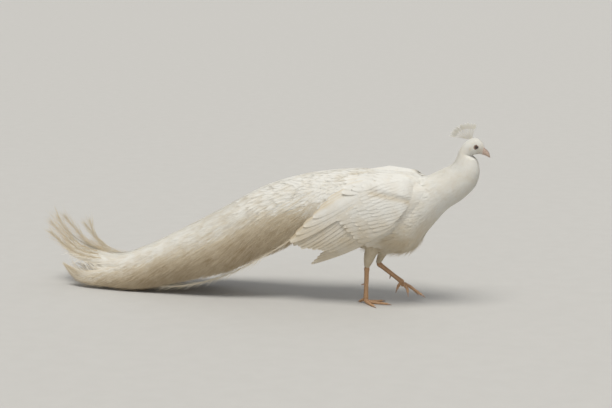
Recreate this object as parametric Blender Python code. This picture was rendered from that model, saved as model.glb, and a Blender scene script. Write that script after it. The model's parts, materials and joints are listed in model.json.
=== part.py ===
"""A white peafowl cock, walking, as a still life-size model.

Metres. +X is forwards, +Y is the bird's left, and the floor is at z 0. Every size is given from a working
origin on the floor under the standing foot, and centre_on_floor() moves the whole bird at the end.
"""

import math
import random

import bmesh
import bpy
from mathutils import Matrix, Vector

# Gaps between pieces, and how far a cutter stands out from what it copies.
GAP = 0.0003
CLEAR = 0.0004

# Faces that meet within this many degrees of flat are merged after a Boolean.
FLAT_ANGLE = 0.05

# Body, neck and head in one line of stations: back point (x, z), front point (x, z) and half width.
STATIONS = [
    ((-0.285, 0.405), (-0.290, 0.345), 0.034),
    ((-0.235, 0.436), (-0.245, 0.300), 0.060),
    ((-0.165, 0.458), (-0.175, 0.255), 0.088),
    ((-0.085, 0.470), (-0.095, 0.222), 0.106),
    ((0.000, 0.478), (-0.005, 0.203), 0.115),
    ((0.085, 0.481), (0.085, 0.193), 0.117),
    ((0.155, 0.480), (0.165, 0.209), 0.108),
    ((0.208, 0.479), (0.222, 0.283), 0.092),
    ((0.245, 0.494), (0.290, 0.362), 0.073),
    ((0.278, 0.510), (0.346, 0.403), 0.058),
    ((0.301, 0.522), (0.390, 0.450), 0.048),
    ((0.316, 0.538), (0.405, 0.500), 0.041),
    ((0.326, 0.558), (0.397, 0.543), 0.033),
    ((0.331, 0.574), (0.379, 0.560), 0.026),
    ((0.340, 0.592), (0.384, 0.5635), 0.0245),
    ((0.353, 0.608), (0.391, 0.5665), 0.0245),
    ((0.371, 0.6205), (0.399, 0.568), 0.0235),
    ((0.389, 0.6255), (0.406, 0.5685), 0.0215),
    ((0.404, 0.619), (0.411, 0.568), 0.0185),
    ((0.4155, 0.607), (0.4155, 0.5665), 0.0145),
    ((0.4225, 0.592), (0.4175, 0.5655), 0.0105),
]
TORSO_END = 7
NECK_END = 13
HEAD_END = 20
SECTION_POWER = 2.2
BODY_SIDES = 24
HEAD_SIDES = 16

# Bill: culmen, line of the mouth and lower edge, each as (x, z) from the face to the tip, and half widths.
CULMEN = [(0.4228, 0.5905), (0.4325, 0.5835), (0.4400, 0.5730), (0.4446, 0.5560)]
MOUTH = [(0.4190, 0.5740), (0.4285, 0.5705), (0.4370, 0.5645), (0.4432, 0.5580)]
CHIN = [(0.4180, 0.5668), (0.4262, 0.5640), (0.4340, 0.5605), (0.4405, 0.5572)]
BILL_HALF_WIDTHS = [(0.0094,), (0.0074,), (0.0048,), (0.0012,)]
NOSTRIL = (0.4290, 0.0068, 0.5795)
NOSTRIL_RADIUS = 0.0015

# Eye.
EYE_CENTRE = (0.398, 0.0165, 0.5945)
EYE_RADIUS = 0.0072
LID_RADIUS = 0.0066
LID_THICK = 0.0014

# The side surface that the folded wings lie on: x, centre height, half height, half width.
SIDE = [
    (-0.40, 0.290, 0.200, 0.128),
    (-0.30, 0.295, 0.200, 0.127),
    (-0.20, 0.305, 0.198, 0.124),
    (-0.10, 0.325, 0.182, 0.123),
    (0.00, 0.338, 0.162, 0.1225),
    (0.085, 0.342, 0.154, 0.1215),
    (0.16, 0.352, 0.140, 0.113),
    (0.21, 0.388, 0.105, 0.097),
    (0.26, 0.430, 0.080, 0.075),
]
SIDE_POWER = 2.3

# The wing's flesh and bone under its coverts, (x, upper z, lower z) from the shoulder back.
WING_CORE = [
    (0.200, 0.440, 0.408),
    (0.172, 0.468, 0.356),
    (0.110, 0.477, 0.298),
    (0.055, 0.474, 0.272),
    (0.015, 0.463, 0.322),
    (-0.025, 0.445, 0.400),
]
WING_CORE_THICK = 0.0125

# The wing's feathers in rows from the body outwards: how many, the roots of the first and the last (x, z), the tips
# of the first and the last, height over the side surface, and whether they are coverts, which follow its curve.
WING_ROWS = [
    (3, (0.060, 0.272), (0.088, 0.312), (-0.187, 0.156), (-0.150, 0.203), 0.0018, False),
    (7, (0.078, 0.312), (-0.008, 0.410), (-0.085, 0.208), (-0.248, 0.226), 0.0057, False),
    (3, (-0.010, 0.408), (0.028, 0.462), (-0.257, 0.248), (-0.135, 0.368), 0.0098, False),
    (7, (0.098, 0.312), (0.008, 0.442), (-0.004, 0.262), (-0.118, 0.354), 0.0137, True),
    (6, (0.128, 0.340), (0.045, 0.452), (0.044, 0.298), (-0.052, 0.396), 0.0174, True),
    (5, (0.155, 0.368), (0.088, 0.444), (0.086, 0.334), (0.008, 0.410), 0.0211, True),
    (4, (0.178, 0.396), (0.140, 0.446), (0.118, 0.370), (0.070, 0.430), 0.0248, True),
    (3, (0.168, 0.448), (0.140, 0.468), (0.052, 0.440), (0.016, 0.460), 0.0190, True),
]
WING_FRONT_DROP = 0.011
WING_OVERLAP = 0.60
WING_RISE = 0.0016
WING_ROOT_LEVEL = 0.0095
FLIGHT_VANE = [(0.0, 0.5), (0.20, 1.0), (0.56, 1.0), (0.91, 0.88), (1.0, 0.36)]
COVERT_VANE = [(0.0, 0.6), (0.30, 1.0), (0.84, 0.92), (1.0, 0.30)]
VANE_THICK = 0.0007

# The train's outer surface: x, top height, half width, half height and how far it reaches round each side.
TRAIN = [
    (0.040, 0.4930, 0.100, 0.130, 33.0),
    (-0.030, 0.4970, 0.112, 0.145, 48.0),
    (-0.150, 0.4850, 0.116, 0.152, 84.0),
    (-0.270, 0.4600, 0.113, 0.160, 114.0),
    (-0.400, 0.4150, 0.126, 0.165, 117.0),
    (-0.520, 0.3500, 0.140, 0.160, 115.0),
    (-0.650, 0.2780, 0.140, 0.135, 115.0),
    (-0.780, 0.2090, 0.132, 0.112, 114.0),
    (-0.880, 0.1600, 0.125, 0.100, 104.0),
    (-0.985, 0.1220, 0.120, 0.085, 90.0),
    (-1.070, 0.1240, 0.115, 0.085, 78.0),
    (-1.150, 0.1380, 0.105, 0.090, 64.0),
    (-1.220, 0.1820, 0.095, 0.090, 55.0),
    (-1.275, 0.2340, 0.085, 0.090, 50.0),
]

# The train's feathers in tiers from the top down: x of the roots, x of the tips and how many.
TRAIN_TIERS = [
    (0.018, -0.150, 5),
    (-0.060, -0.330, 7),
    (-0.160, -0.500, 7),
    (-0.255, -0.660, 7),
    (-0.345, -0.820, 7),
    (-0.420, -0.980, 7),
    (-0.470, -1.130, 5),
    (-0.490, -1.258, 5),
]
TRAIN_PLACES = [-0.13 * k for k in range(7)] + [-0.89, -0.97, -1.04, -1.11, -1.18, -1.235]
TRAIN_SPREAD = 0.76
TRAIN_OVERLAP = 0.57
TRAIN_RISE = 0.0042
TRAIN_PITCH_FRONT = 0.0062
TRAIN_PITCH_REAR = 0.0070
TRAIN_THICK = 0.0009
TRAIN_ROOT_DIP = 0.0105
CORE_END = -0.50

# The lowest train feathers, which rest on the floor: x, height of their underside, half width of the fan.
LOW_TRAIN = [
    (-0.268, 0.421, 0.032),
    (-0.300, 0.407, 0.037),
    (-0.335, 0.376, 0.043),
    (-0.400, 0.284, 0.055),
    (-0.520, 0.170, 0.078),
    (-0.660, 0.080, 0.092),
    (-0.780, 0.022, 0.100),
    (-0.860, 0.000, 0.100),
    (-0.940, 0.000, 0.100),
    (-1.050, 0.018, 0.094),
    (-1.170, 0.074, 0.082),
]
LOW_COUNT = 5
LOW_HALF_WIDTH = 0.0185

# The true tail under the train: x, height, half width of the fan.
TAIL = [
    (-0.315, 0.352, 0.014),
    (-0.375, 0.256, 0.032),
    (-0.440, 0.190, 0.048),
    (-0.520, 0.132, 0.062),
    (-0.620, 0.074, 0.074),
]
TAIL_COUNT = 9
TAIL_HALF_WIDTH = 0.0140

# Crest: a pad on the crown, and feathers in a fan of angles above forwards.
CREST_PAD = (0.3700, 0.6195)
CREST_PAD_SIZE = (0.0155, 0.0050, 0.0066)
CREST_COUNT = 17
CREST_ANGLES = (72.0, 172.0)
CREST_LENGTHS = (0.050, 0.060)
CREST_LAYER = 0.0022
CREST_VANE = [(0.0, 0.0006), (0.70, 0.0006), (0.90, 0.0048), (1.0, 0.0034)]

# Legs. Each line is centre (x, y, z), half thickness fore and aft, and half thickness sideways.
RIGHT_THIGH = [
    ((0.052, -0.056, 0.290), 0.048, 0.040),
    ((0.040, -0.053, 0.245), 0.036, 0.031),
    ((0.024, -0.047, 0.205), 0.024, 0.022),
    ((0.012, -0.038, 0.172), 0.0180, 0.0165),
    ((0.006, -0.034, 0.152), 0.0125, 0.0115),
    ((0.003, -0.032, 0.140), 0.0088, 0.0080),
]
LEFT_THIGH = [
    ((0.088, 0.056, 0.285), 0.046, 0.040),
    ((0.070, 0.055, 0.240), 0.032, 0.029),
    ((0.046, 0.052, 0.195), 0.0195, 0.0185),
    ((0.033, 0.051, 0.165), 0.0130, 0.0125),
    ((0.026, 0.050, 0.146), 0.0096, 0.0090),
    ((0.0235, 0.050, 0.1385), 0.0084, 0.0078),
]
RIGHT_HOCK = (0.003, -0.032, 0.1395)
RIGHT_HEEL = (-0.004, -0.018, 0.018)
LEFT_HOCK = (0.0230, 0.050, 0.1375)
LEFT_HEEL = (0.118, 0.045, 0.0735)
SHANK = [
    (0.00, 0.0088, 0.0080),
    (0.07, 0.0100, 0.0088),
    (0.18, 0.0086, 0.0066),
    (0.50, 0.0076, 0.0056),
    (0.80, 0.0078, 0.0062),
    (0.95, 0.0088, 0.0080),
    (1.00, 0.0086, 0.0080),
]
SPUR_PLACE = 0.56
SPUR_LENGTH = 0.016
SPUR_RADIUS = 0.0040

# Toes, as lists of joints (x, y, z) from the heel, and their thickness. The claw starts at the last joint.
TOE_RADIUS = 0.0062
TOE_TIP_RADIUS = 0.0042
CLAW_LENGTH = 0.014
RIGHT_TOES = {
    "inner": [(0.001, -0.014, 0.0070), (0.025, 0.007, 0.0038), (0.046, 0.025, 0.0034)],
    "middle": [(0.003, -0.018, 0.0075), (0.033, -0.018, 0.0040), (0.059, -0.018, 0.0037), (0.081, -0.019, 0.0034)],
    "outer": [(0.000, -0.023, 0.0070), (0.017, -0.042, 0.0040), (0.032, -0.059, 0.0037), (0.044, -0.072, 0.0034)],
    "hind": [(-0.009, -0.016, 0.0160), (-0.021, -0.011, 0.0086), (-0.030, -0.007, 0.0040)],
}
LEFT_TOES = {
    "inner": [(0.122, 0.040, 0.0690), (0.139, 0.030, 0.0540), (0.143, 0.026, 0.0400)],
    "middle": [(0.124, 0.045, 0.0700), (0.151, 0.045, 0.0560), (0.173, 0.045, 0.0420), (0.192, 0.045, 0.0310)],
    "outer": [(0.122, 0.050, 0.0690), (0.143, 0.060, 0.0560), (0.156, 0.068, 0.0430), (0.163, 0.073, 0.0330)],
    "hind": [(0.111, 0.044, 0.0725), (0.103, 0.042, 0.0600), (0.098, 0.041, 0.0480)],
}

WHITE = (0.86, 0.85, 0.80)
BARE_SKIN = (0.80, 0.72, 0.68)
LEG_SKIN = (0.62, 0.42, 0.30)
HORN = (0.78, 0.60, 0.54)
CLAW = (0.60, 0.48, 0.40)
EYE_BROWN = (0.05, 0.025, 0.015)


def hermite(rows, x):
    """The values of a table of (x, ...) rows at x, on a smooth curve through them."""
    if (rows[-1][0] - rows[0][0]) < 0:
        rows = rows[::-1]
    x = min(max(x, rows[0][0]), rows[-1][0])
    i = max(k for k in range(len(rows) - 1) if rows[k][0] <= x)
    a, b = rows[i], rows[i + 1]
    span = b[0] - a[0]
    t = (x - a[0]) / span
    before = rows[max(i - 1, 0)]
    after = rows[min(i + 2, len(rows) - 1)]
    values = []
    for p, q, r, s in zip(before[1:], a[1:], b[1:], after[1:]):
        into = (r - p) / (b[0] - before[0]) * span
        out = (s - q) / (after[0] - a[0]) * span
        values.append(
            q * (1 + 2 * t) * (1 - t) ** 2 + into * t * (1 - t) ** 2 + r * t * t * (3 - 2 * t) + out * t * t * (t - 1)
        )
    return values


def through(points, t):
    """The point at t, from 0 to len - 1, on a smooth curve through the points."""
    rows = [(k, *p) for k, p in enumerate(points)]
    return hermite(rows, t)


def new_object(name, vertices, faces):
    mesh = bpy.data.meshes.new(name)
    mesh.from_pydata([tuple(v) for v in vertices], [], faces)
    obj = bpy.data.objects.new(name, mesh)
    bpy.context.scene.collection.objects.link(obj)
    return obj


def loft(name, rings):
    """A closed skin over rings of like points, flat at both ends, its faces pointing out."""
    count = len(rings[0])
    vertices = [p for ring in rings for p in ring]
    faces = []
    for r in range(len(rings) - 1):
        for k in range(count):
            n = (k + 1) % count
            faces.append((r * count + k, r * count + n, (r + 1) * count + n, (r + 1) * count + k))
    faces.append(tuple(range(count))[::-1])
    faces.append(tuple((len(rings) - 1) * count + k for k in range(count)))
    obj = new_object(name, vertices, faces)
    face_out(obj)
    return obj


def face_out(obj):
    """Triangles, with their normals pointing out."""
    shape = bmesh.new()
    shape.from_mesh(obj.data)
    bmesh.ops.triangulate(shape, faces=shape.faces)
    bmesh.ops.recalc_face_normals(shape, faces=shape.faces)
    if shape.calc_volume(signed=True) < 0:
        bmesh.ops.reverse_faces(shape, faces=shape.faces)
    shape.to_mesh(obj.data)
    shape.free()


def finish(obj, material, sharp_angle=40.0):
    obj.data.materials.clear()
    obj.data.materials.append(material)
    obj.data.shade_smooth()
    obj.data.set_sharp_from_angle(angle=math.radians(sharp_angle))
    return obj


def make_material(name, colour, roughness):
    material = bpy.data.materials.new(name)
    material.use_nodes = True
    shader = material.node_tree.nodes["Principled BSDF"]
    shader.inputs["Base Color"].default_value = (*colour, 1.0)
    shader.inputs["Roughness"].default_value = roughness
    shader.inputs["Metallic"].default_value = 0.0
    return material


def combine(obj, others, operation):
    """Applies one Boolean with all the other objects, and removes them."""
    group = bpy.data.collections.new("pieces")
    bpy.context.scene.collection.children.link(group)
    for other in others:
        bpy.context.scene.collection.objects.unlink(other)
        group.objects.link(other)
    modifier = obj.modifiers.new("combine", "BOOLEAN")
    modifier.operation = operation
    modifier.operand_type = "COLLECTION"
    modifier.collection = group
    modifier.solver = "MANIFOLD"
    graph = bpy.context.evaluated_depsgraph_get()
    mesh = bpy.data.meshes.new_from_object(obj.evaluated_get(graph))
    obj.modifiers.clear()
    obj.data = mesh
    for other in others:
        bpy.data.objects.remove(other)
    bpy.data.collections.remove(group)
    return obj


def keep_largest(obj):
    """Drops all but the closed surface that holds the most."""
    shape = bmesh.new()
    shape.from_mesh(obj.data)
    left = set(shape.faces)
    parts = []
    while left:
        start = left.pop()
        part = {start}
        edge = [start]
        while edge:
            for e in edge.pop().edges:
                for face in e.link_faces:
                    if face in left:
                        left.remove(face)
                        part.add(face)
                        edge.append(face)
        parts.append(part)
    if len(parts) > 1:
        def held(part):
            total = 0.0
            for face in part:
                a = face.verts[0].co
                for b, c in zip(face.verts[1:], face.verts[2:]):
                    total += a.dot(b.co.cross(c.co)) / 6
            return total

        best = max(parts, key=held)
        bmesh.ops.delete(shape, geom=[f for p in parts if p is not best for f in p], context="FACES")
    flat = math.radians(FLAT_ANGLE)
    bmesh.ops.dissolve_limit(shape, angle_limit=flat, use_dissolve_boundaries=False, verts=shape.verts, edges=shape.edges)
    bmesh.ops.triangulate(shape, faces=shape.faces)
    shape.to_mesh(obj.data)
    shape.free()
    return obj


def section(back, front, half_width, sides, power=SECTION_POWER):
    """A rounded ring in the plane of the back and front points."""
    middle = (Vector(back) + Vector(front)) / 2
    up = (Vector(back) - Vector(front)) / 2
    ring = []
    for k in range(sides):
        a = math.tau * (k + 0.5) / sides
        c, s = math.cos(a), math.sin(a)
        rise = math.copysign(abs(c) ** (2 / power), c)
        reach = math.copysign(abs(s) ** (2 / power), s)
        ring.append(Vector((middle.x + up.x * rise, half_width * reach, middle.y + up.y * rise)))
    return ring


def station(t, grow=0.0):
    """Back point, front point and half width of the body at t along the stations."""
    flat = [(*back, *front, width) for back, front, width in STATIONS]
    bx, bz, fx, fz, width = through(flat, t)
    back, front = Vector((bx, bz)), Vector((fx, fz))
    out = (back - front).normalized() * grow
    return back + out, front - out, width + grow


def station_axis(t):
    """The direction along the body, square to the section at t."""
    back, front, _ = station(t)
    up = (back - front).normalized()
    return Vector((up.y, 0, -up.x))


def body_rings(start, end, step, sides, grow=0.0):
    count = round((end - start) / step)
    rings = [section(*station(start + (end - start) * k / count, grow), sides) for k in range(count + 1)]
    if grow:
        rings[0] = [p - station_axis(start) * grow for p in rings[0]]
        rings[-1] = [p + station_axis(end) * grow for p in rings[-1]]
    return rings


def body_part(name, start, end, step, sides):
    """One length of the body. All but the first start a gap beyond the last one's end."""
    rings = body_rings(start, end, step, sides)
    if start > 0:
        rings[0] = [p + station_axis(start) * GAP for p in rings[0]]
    return loft(name, rings)


def grown_body():
    """The torso and neck, a little larger, to cut what lies on them."""
    return loft("cutter", body_rings(0, NECK_END, 0.5, BODY_SIDES, CLEAR))


def slab(name, upper, lower):
    """A closed thin solid between two like grids of points, split into triangles alike on both faces."""
    rows, columns = len(upper), len(upper[0])
    vertices = [p for row in upper for p in row] + [p for row in lower for p in row]
    base = rows * columns
    faces = []

    def add(a, b, c, d):
        faces.append((a, b, c))
        faces.append((a, c, d))

    for r in range(rows - 1):
        for c in range(columns - 1):
            a, b = r * columns + c, r * columns + c + 1
            d, e = a + columns, b + columns
            add(a, b, e, d)
            faces.append((base + a, base + e, base + b))
            faces.append((base + a, base + d, base + e))
        left, right = r * columns, r * columns + columns - 1
        add(left + columns, base + left + columns, base + left, left)
        add(right, base + right, base + right + columns, right + columns)
    for c in range(columns - 1):
        a, b = c, c + 1
        add(b, a, base + a, base + b)
        a, b = (rows - 1) * columns + c, (rows - 1) * columns + c + 1
        add(a, b, base + b, base + a)
    obj = new_object(name, vertices, faces)
    face_out(obj)
    return obj


def side_point(x, z, offset, hand):
    """A point on the wings' side surface at x and z, moved out by offset. hand is -1 on the bird's right."""
    centre, half_height, half_width = hermite(SIDE, x)
    high = min(abs(z - centre) / half_height, 0.985)
    y = half_width * (1 - high ** SIDE_POWER) ** (1 / SIDE_POWER)
    slope_z = math.copysign(high ** (SIDE_POWER - 1) / half_height, z - centre)
    slope_y = (y / half_width) ** (SIDE_POWER - 1) / half_width
    out = Vector((0, slope_y, slope_z)).normalized()
    return Vector((x, hand * (y + out.y * offset), z + out.z * offset))


def blend(x, start, end):
    """A smooth step from 0 at start to 1 at end."""
    t = min(max((x - start) / (end - start), 0.0), 1.0)
    return t * t * (3 - 2 * t)


def spacing(first, last, along, count):
    """How far apart neighbours lie, square to the feathers' direction."""
    step = (Vector(last) - Vector(first)) / (count - 1)
    return abs(step.cross(along.normalized()))


def wing_vane(root, tip, root_spacing, tip_spacing, height, hand, covert, bow):
    """One feather of the folded wing, its lower edge lying over the feather below it."""
    along = tip - root
    across = Vector((along.y, -along.x)).normalized()
    if across.y > 0:
        across = -across
    upper, lower = [], []
    for t, wide in COVERT_VANE if covert else FLIGHT_VANE:
        middle = root + along * t + across * bow * t * (1 - t)
        rise = height - WING_FRONT_DROP * blend(middle.x, 0.03, 0.14) * covert
        rise = min(rise, WING_ROOT_LEVEL) if t == 0 else rise
        half = WING_OVERLAP * (root_spacing + (tip_spacing - root_spacing) * t) * wide
        upper.append([])
        lower.append([])
        for edge in (-1, 0, 1) if covert else (-1, 1):
            place = middle + across * half * edge
            level = rise + WING_OVERLAP * WING_RISE * wide * edge
            upper[-1].append(side_point(place.x, place.y, level + VANE_THICK / 2, hand))
            lower[-1].append(side_point(place.x, place.y, level - VANE_THICK / 2, hand))
    return slab("vane", upper, lower)


def wing_row(row, hand, chance):
    count, first_root, last_root, first_tip, last_tip, height, covert = row
    along = Vector(first_tip) + Vector(last_tip) - Vector(first_root) - Vector(last_root)
    root_spacing = spacing(first_root, last_root, along, count)
    tip_spacing = spacing(first_tip, last_tip, along, count)
    vanes = []
    for k in range(count):
        share = k / (count - 1)
        root = Vector(first_root).lerp(Vector(last_root), share)
        tip = Vector(first_tip).lerp(Vector(last_tip), share)
        tip += (tip - root) * chance.uniform(-0.012, 0.012)
        vanes.append(wing_vane(root, tip, root_spacing, tip_spacing, height, hand, covert, 0.016))
    return vanes


def wing(side, hand):
    """A folded wing: primaries, secondaries, tertials and coverts in rows over a core of flesh and bone."""
    chance = random.Random(7 if hand < 0 else 11)
    upper, lower = [], []
    swell = [0.25, 0.9, 1.0, 1.0, 1.0, 0.9, 0.25]
    for x, top, bottom in WING_CORE:
        heights = [bottom + (top - bottom) * k for k in (0, 0.12, 0.3, 0.5, 0.7, 0.88, 1)]
        upper.append([side_point(x, z, 0.001 + WING_CORE_THICK * s, hand) for z, s in zip(heights, swell)])
        lower.append([side_point(x, z, -0.010, hand) for z in heights])
    core = slab("wing_" + side, upper, lower)
    vanes = [vane for row in WING_ROWS for vane in wing_row(row, hand, chance)]
    combine(core, vanes, "UNION")
    combine(core, [grown_body()], "DIFFERENCE")
    return keep_largest(core)


def train_point(x, angle, depth):
    """A point of the train at x, at an angle round its section from the top, and a depth below its outside."""
    top, half_width, half_height, _ = hermite(TRAIN, x)
    centre = top - half_height
    return Vector((x, (half_width - depth) * math.sin(angle), centre + (half_height - depth) * math.cos(angle)))


def train_depth(tier, x):
    """How far a tier lies below the train's outside, which it rises to behind the tips of the tiers above."""
    pitch = TRAIN_PITCH_FRONT + (TRAIN_PITCH_REAR - TRAIN_PITCH_FRONT) * blend(-x, 0.12, 0.35)
    above = [blend(x, tip - 0.15, tip - 0.05) * blend(-x, -root, 0.05 - root) for root, tip, _ in TRAIN_TIERS[:tier]]
    return pitch * sum(above)


def train_stations(root_x, tip_x):
    """Shared stations along the train, so that the tiers stay parallel, and how wide a vane is at each."""
    places = [root_x] + [x for x in TRAIN_PLACES if tip_x + 0.060 < x < root_x - 0.05] + [tip_x + 0.032, tip_x]
    stations = []
    for x in places:
        t = (root_x - x) / (root_x - tip_x)
        wide = 0.70 + 0.30 * blend(t, 0.0, 0.30) - 0.10 * blend(t, 0.6, 1.0)
        stations.append((x, wide))
    stations[-2] = (stations[-2][0], 0.66)
    stations[-1] = (stations[-1][0], 0.12)
    return stations


def train_vane(tier, turn, chance):
    """One train feather, from the core over the tail, with the feathers nearer the middle lying over it."""
    root_x, tip_x, count = TRAIN_TIERS[tier]
    tip_x += chance.uniform(-0.006, 0.006) - 0.012 * (1 - abs(turn)) * (tier > 3)
    tip_x = max(tip_x, -1.275)
    side = (turn > 0) - (turn < 0)
    upper, lower = [], []
    for x, wide in train_stations(root_x, tip_x):
        reach = math.radians(hermite(TRAIN, x)[3]) / (1 + 2 * TRAIN_OVERLAP / (count - 1))
        reach *= TRAIN_SPREAD + (1 - TRAIN_SPREAD) * blend(root_x - x, 0.0, 0.16)
        half = TRAIN_OVERLAP * wide * reach * 2 / (count - 1)
        depth = train_depth(tier, x) + TRAIN_ROOT_DIP * (x == root_x)
        upper.append([])
        lower.append([])
        for edge in (-1, 0, 1):
            level = depth - TRAIN_OVERLAP * TRAIN_RISE * wide * edge * side
            upper[-1].append(train_point(x, reach * turn + half * edge, level))
            lower[-1].append(train_point(x, reach * turn + half * edge, level + TRAIN_THICK))
    return slab("vane", upper, lower)


def low_vane(k):
    """One of the lowest train feathers, which rest on the floor on their undersides."""
    place = k - (LOW_COUNT - 1) / 2
    end = len(LOW_TRAIN) - 1 - abs(place) * 0.4
    upper, lower = [], []
    for t in [*range(len(LOW_TRAIN) - 1), end]:
        x, height, width = through(LOW_TRAIN, t) if t == end else LOW_TRAIN[t]
        wide = 0.30 + 0.70 * blend(-x, 0.3, 0.6)
        wide = 0.15 if t == end else wide
        middle = width * place / 2.4
        half = LOW_HALF_WIDTH * wide
        upper.append([Vector((x, middle + edge * half, height + TRAIN_THICK)) for edge in (-1, 1)])
        lower.append([Vector((x, middle + edge * half, height)) for edge in (-1, 1)])
    return slab("vane", upper, lower)


def train_core():
    """The rump and quills that the train grows from, under its shorter feathers."""
    upper, lower = [], []
    for x in (0.030, 0.000, -0.070, -0.140, -0.210, -0.280, -0.350, -0.425, CORE_END):
        reach = math.radians(hermite(TRAIN, x)[3]) * TRAIN_SPREAD
        angles = [-reach + 2 * reach * k / 8 for k in range(9)]
        outer = train_depth(len(TRAIN_TIERS), x) + 0.002
        upper.append([train_point(x, a, outer) for a in angles])
        lower.append([train_point(x, a, outer + 0.030 - 0.016 * blend(-x, 0.3, 0.5)) for a in angles])
    return slab("train", upper, lower)


def train():
    """The train: tiers of feathers like roof tiles, the longest lowest and farthest back."""
    chance = random.Random(3)
    core = train_core()
    vanes = []
    for tier, (_, _, count) in enumerate(TRAIN_TIERS):
        for k in range(count):
            vanes.append(train_vane(tier, -1 + 2 * k / (count - 1), chance))
    vanes += [low_vane(k) for k in range(LOW_COUNT)]
    combine(core, vanes, "UNION")
    combine(core, [grown_body(), tail_core(CLEAR)], "DIFFERENCE")
    return keep_largest(core)


TAIL_CORE = [
    ((-0.2864, 0.404), (-0.2914, 0.346), 0.033),
    ((-0.315, 0.382), (-0.322, 0.335), 0.031),
    ((-0.345, 0.340), (-0.350, 0.305), 0.028),
]


def tail_core(grow=0.0):
    """The fleshy end of the tail, behind the torso."""
    rings = []
    for back, front, width in TAIL_CORE:
        out = (Vector(back) - Vector(front)).normalized() * grow
        rings.append(section(Vector(back) + out, Vector(front) - out, width + grow, 16))
    if grow:
        rings[0] = [p + Vector((grow, 0, 0)) for p in rings[0]]
        rings[-1] = [p - Vector((grow, 0, 0)) for p in rings[-1]]
    return loft("tail_core", rings)


def tail_vane(k):
    """One tail feather, fanned out from the end of the tail. Those nearer the middle lie over those beside them."""
    place = k - (TAIL_COUNT - 1) / 2
    share = place / ((TAIL_COUNT - 1) / 2)
    upper, lower = [], []
    for t, wide in ((0.0, 0.35), (1.2, 0.7), (2.6, 1.0), (3.7, 0.9), (4.0, 0.35)):
        x, height, width = through(TAIL, t)
        x += 0.06 * abs(share) * t / 4
        half = TAIL_HALF_WIDTH * wide
        middle = width * share
        z = height - 0.012 * abs(share) * t / 4 - 0.0011 * abs(place)
        upper.append([Vector((x, middle + edge * half, z + TRAIN_THICK)) for edge in (-1, 1)])
        lower.append([Vector((x, middle + edge * half, z)) for edge in (-1, 1)])
    return slab("vane", upper, lower)


def tail():
    """The true tail under the train."""
    core = tail_core()
    combine(core, [tail_vane(k) for k in range(TAIL_COUNT)], "UNION")
    core.name = "tail"
    return keep_largest(core)


def crest_vane(k, chance):
    """One crest feather: a bare stalk with a small fan at its tip."""
    share = k / (CREST_COUNT - 1)
    angle = math.radians(CREST_ANGLES[0] + (CREST_ANGLES[1] - CREST_ANGLES[0]) * share)
    length = CREST_LENGTHS[0] + (CREST_LENGTHS[1] - CREST_LENGTHS[0]) * share + chance.uniform(-0.002, 0.002)
    y = CREST_LAYER * ((k % 3) - 1)
    root = Vector((CREST_PAD[0] + 0.007 - 0.017 * share, y, CREST_PAD[1] + 0.0025 - 0.002 * abs(share - 0.4)))
    along = Vector((math.cos(angle), 0, math.sin(angle)))
    across = Vector((-along.z, 0, along.x))
    upper, lower = [], []
    for t, half in CREST_VANE:
        middle = root + along * length * t
        upper.append([middle + across * half * edge + Vector((0, 0.0004, 0)) for edge in (-1, 1)])
        lower.append([middle + across * half * edge - Vector((0, 0.0004, 0)) for edge in (-1, 1)])
    return slab("vane", upper, lower)


def crest():
    """The crest: a fan of feathers on a small pad."""
    chance = random.Random(5)
    pad = ball("crest", (0, 0, 0), 1.0, 8, 6)
    pad.data.transform(Matrix.Diagonal((*CREST_PAD_SIZE, 1)))
    pad.data.transform(Matrix.Translation((CREST_PAD[0], 0, CREST_PAD[1])))
    combine(pad, [crest_vane(k, chance) for k in range(CREST_COUNT)], "UNION")
    cutter = loft("cutter", body_rings(NECK_END, HEAD_END, 0.5, HEAD_SIDES, CLEAR))
    combine(pad, [cutter], "DIFFERENCE")
    return keep_largest(pad)


def ball(name, centre, radius, segments=16, rings=10):
    shape = bmesh.new()
    bmesh.ops.create_uvsphere(shape, u_segments=segments, v_segments=rings, radius=radius)
    bmesh.ops.translate(shape, verts=shape.verts, vec=centre)
    mesh = bpy.data.meshes.new(name)
    shape.to_mesh(mesh)
    shape.free()
    obj = bpy.data.objects.new(name, mesh)
    bpy.context.scene.collection.objects.link(obj)
    face_out(obj)
    return obj


def ring_of(name, centre, radius, thick, hand, around=12, sides=4):
    """A lid: a rounded ring that faces sideways round the eye."""
    rings = []
    for k in range(around):
        a = math.tau * k / around
        out = Vector((math.cos(a), 0, math.sin(a) * 0.84))
        ring = []
        for s in range(sides):
            b = math.tau * s / sides
            ring.append(Vector(centre) + out * (radius + thick * math.cos(b)) + Vector((0, hand * thick * math.sin(b), 0)))
        rings.append(ring)
    vertices = [p for ring in rings for p in ring]
    faces = []
    for r in range(around):
        for k in range(sides):
            n, s = (k + 1) % sides, (r + 1) % around
            faces.append((r * sides + k, r * sides + n, s * sides + n, s * sides + k))
    obj = new_object(name, vertices, faces)
    face_out(obj)
    return obj


def head():
    """The head, with lids round the eyes and the corners of the mouth."""
    obj = body_part("head", NECK_END, HEAD_END, 0.5, HEAD_SIDES)
    lids, sockets = [], []
    for hand in (-1, 1):
        x, y, z = EYE_CENTRE
        lids.append(ring_of("lid", (x, hand * (y + 0.0052), z), LID_RADIUS, LID_THICK, hand))
        sockets.append(ball("socket", (x, hand * y, z), EYE_RADIUS + GAP, 12, 8))
    combine(obj, lids, "UNION")
    combine(obj, sockets, "DIFFERENCE")
    return keep_largest(obj)


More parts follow.
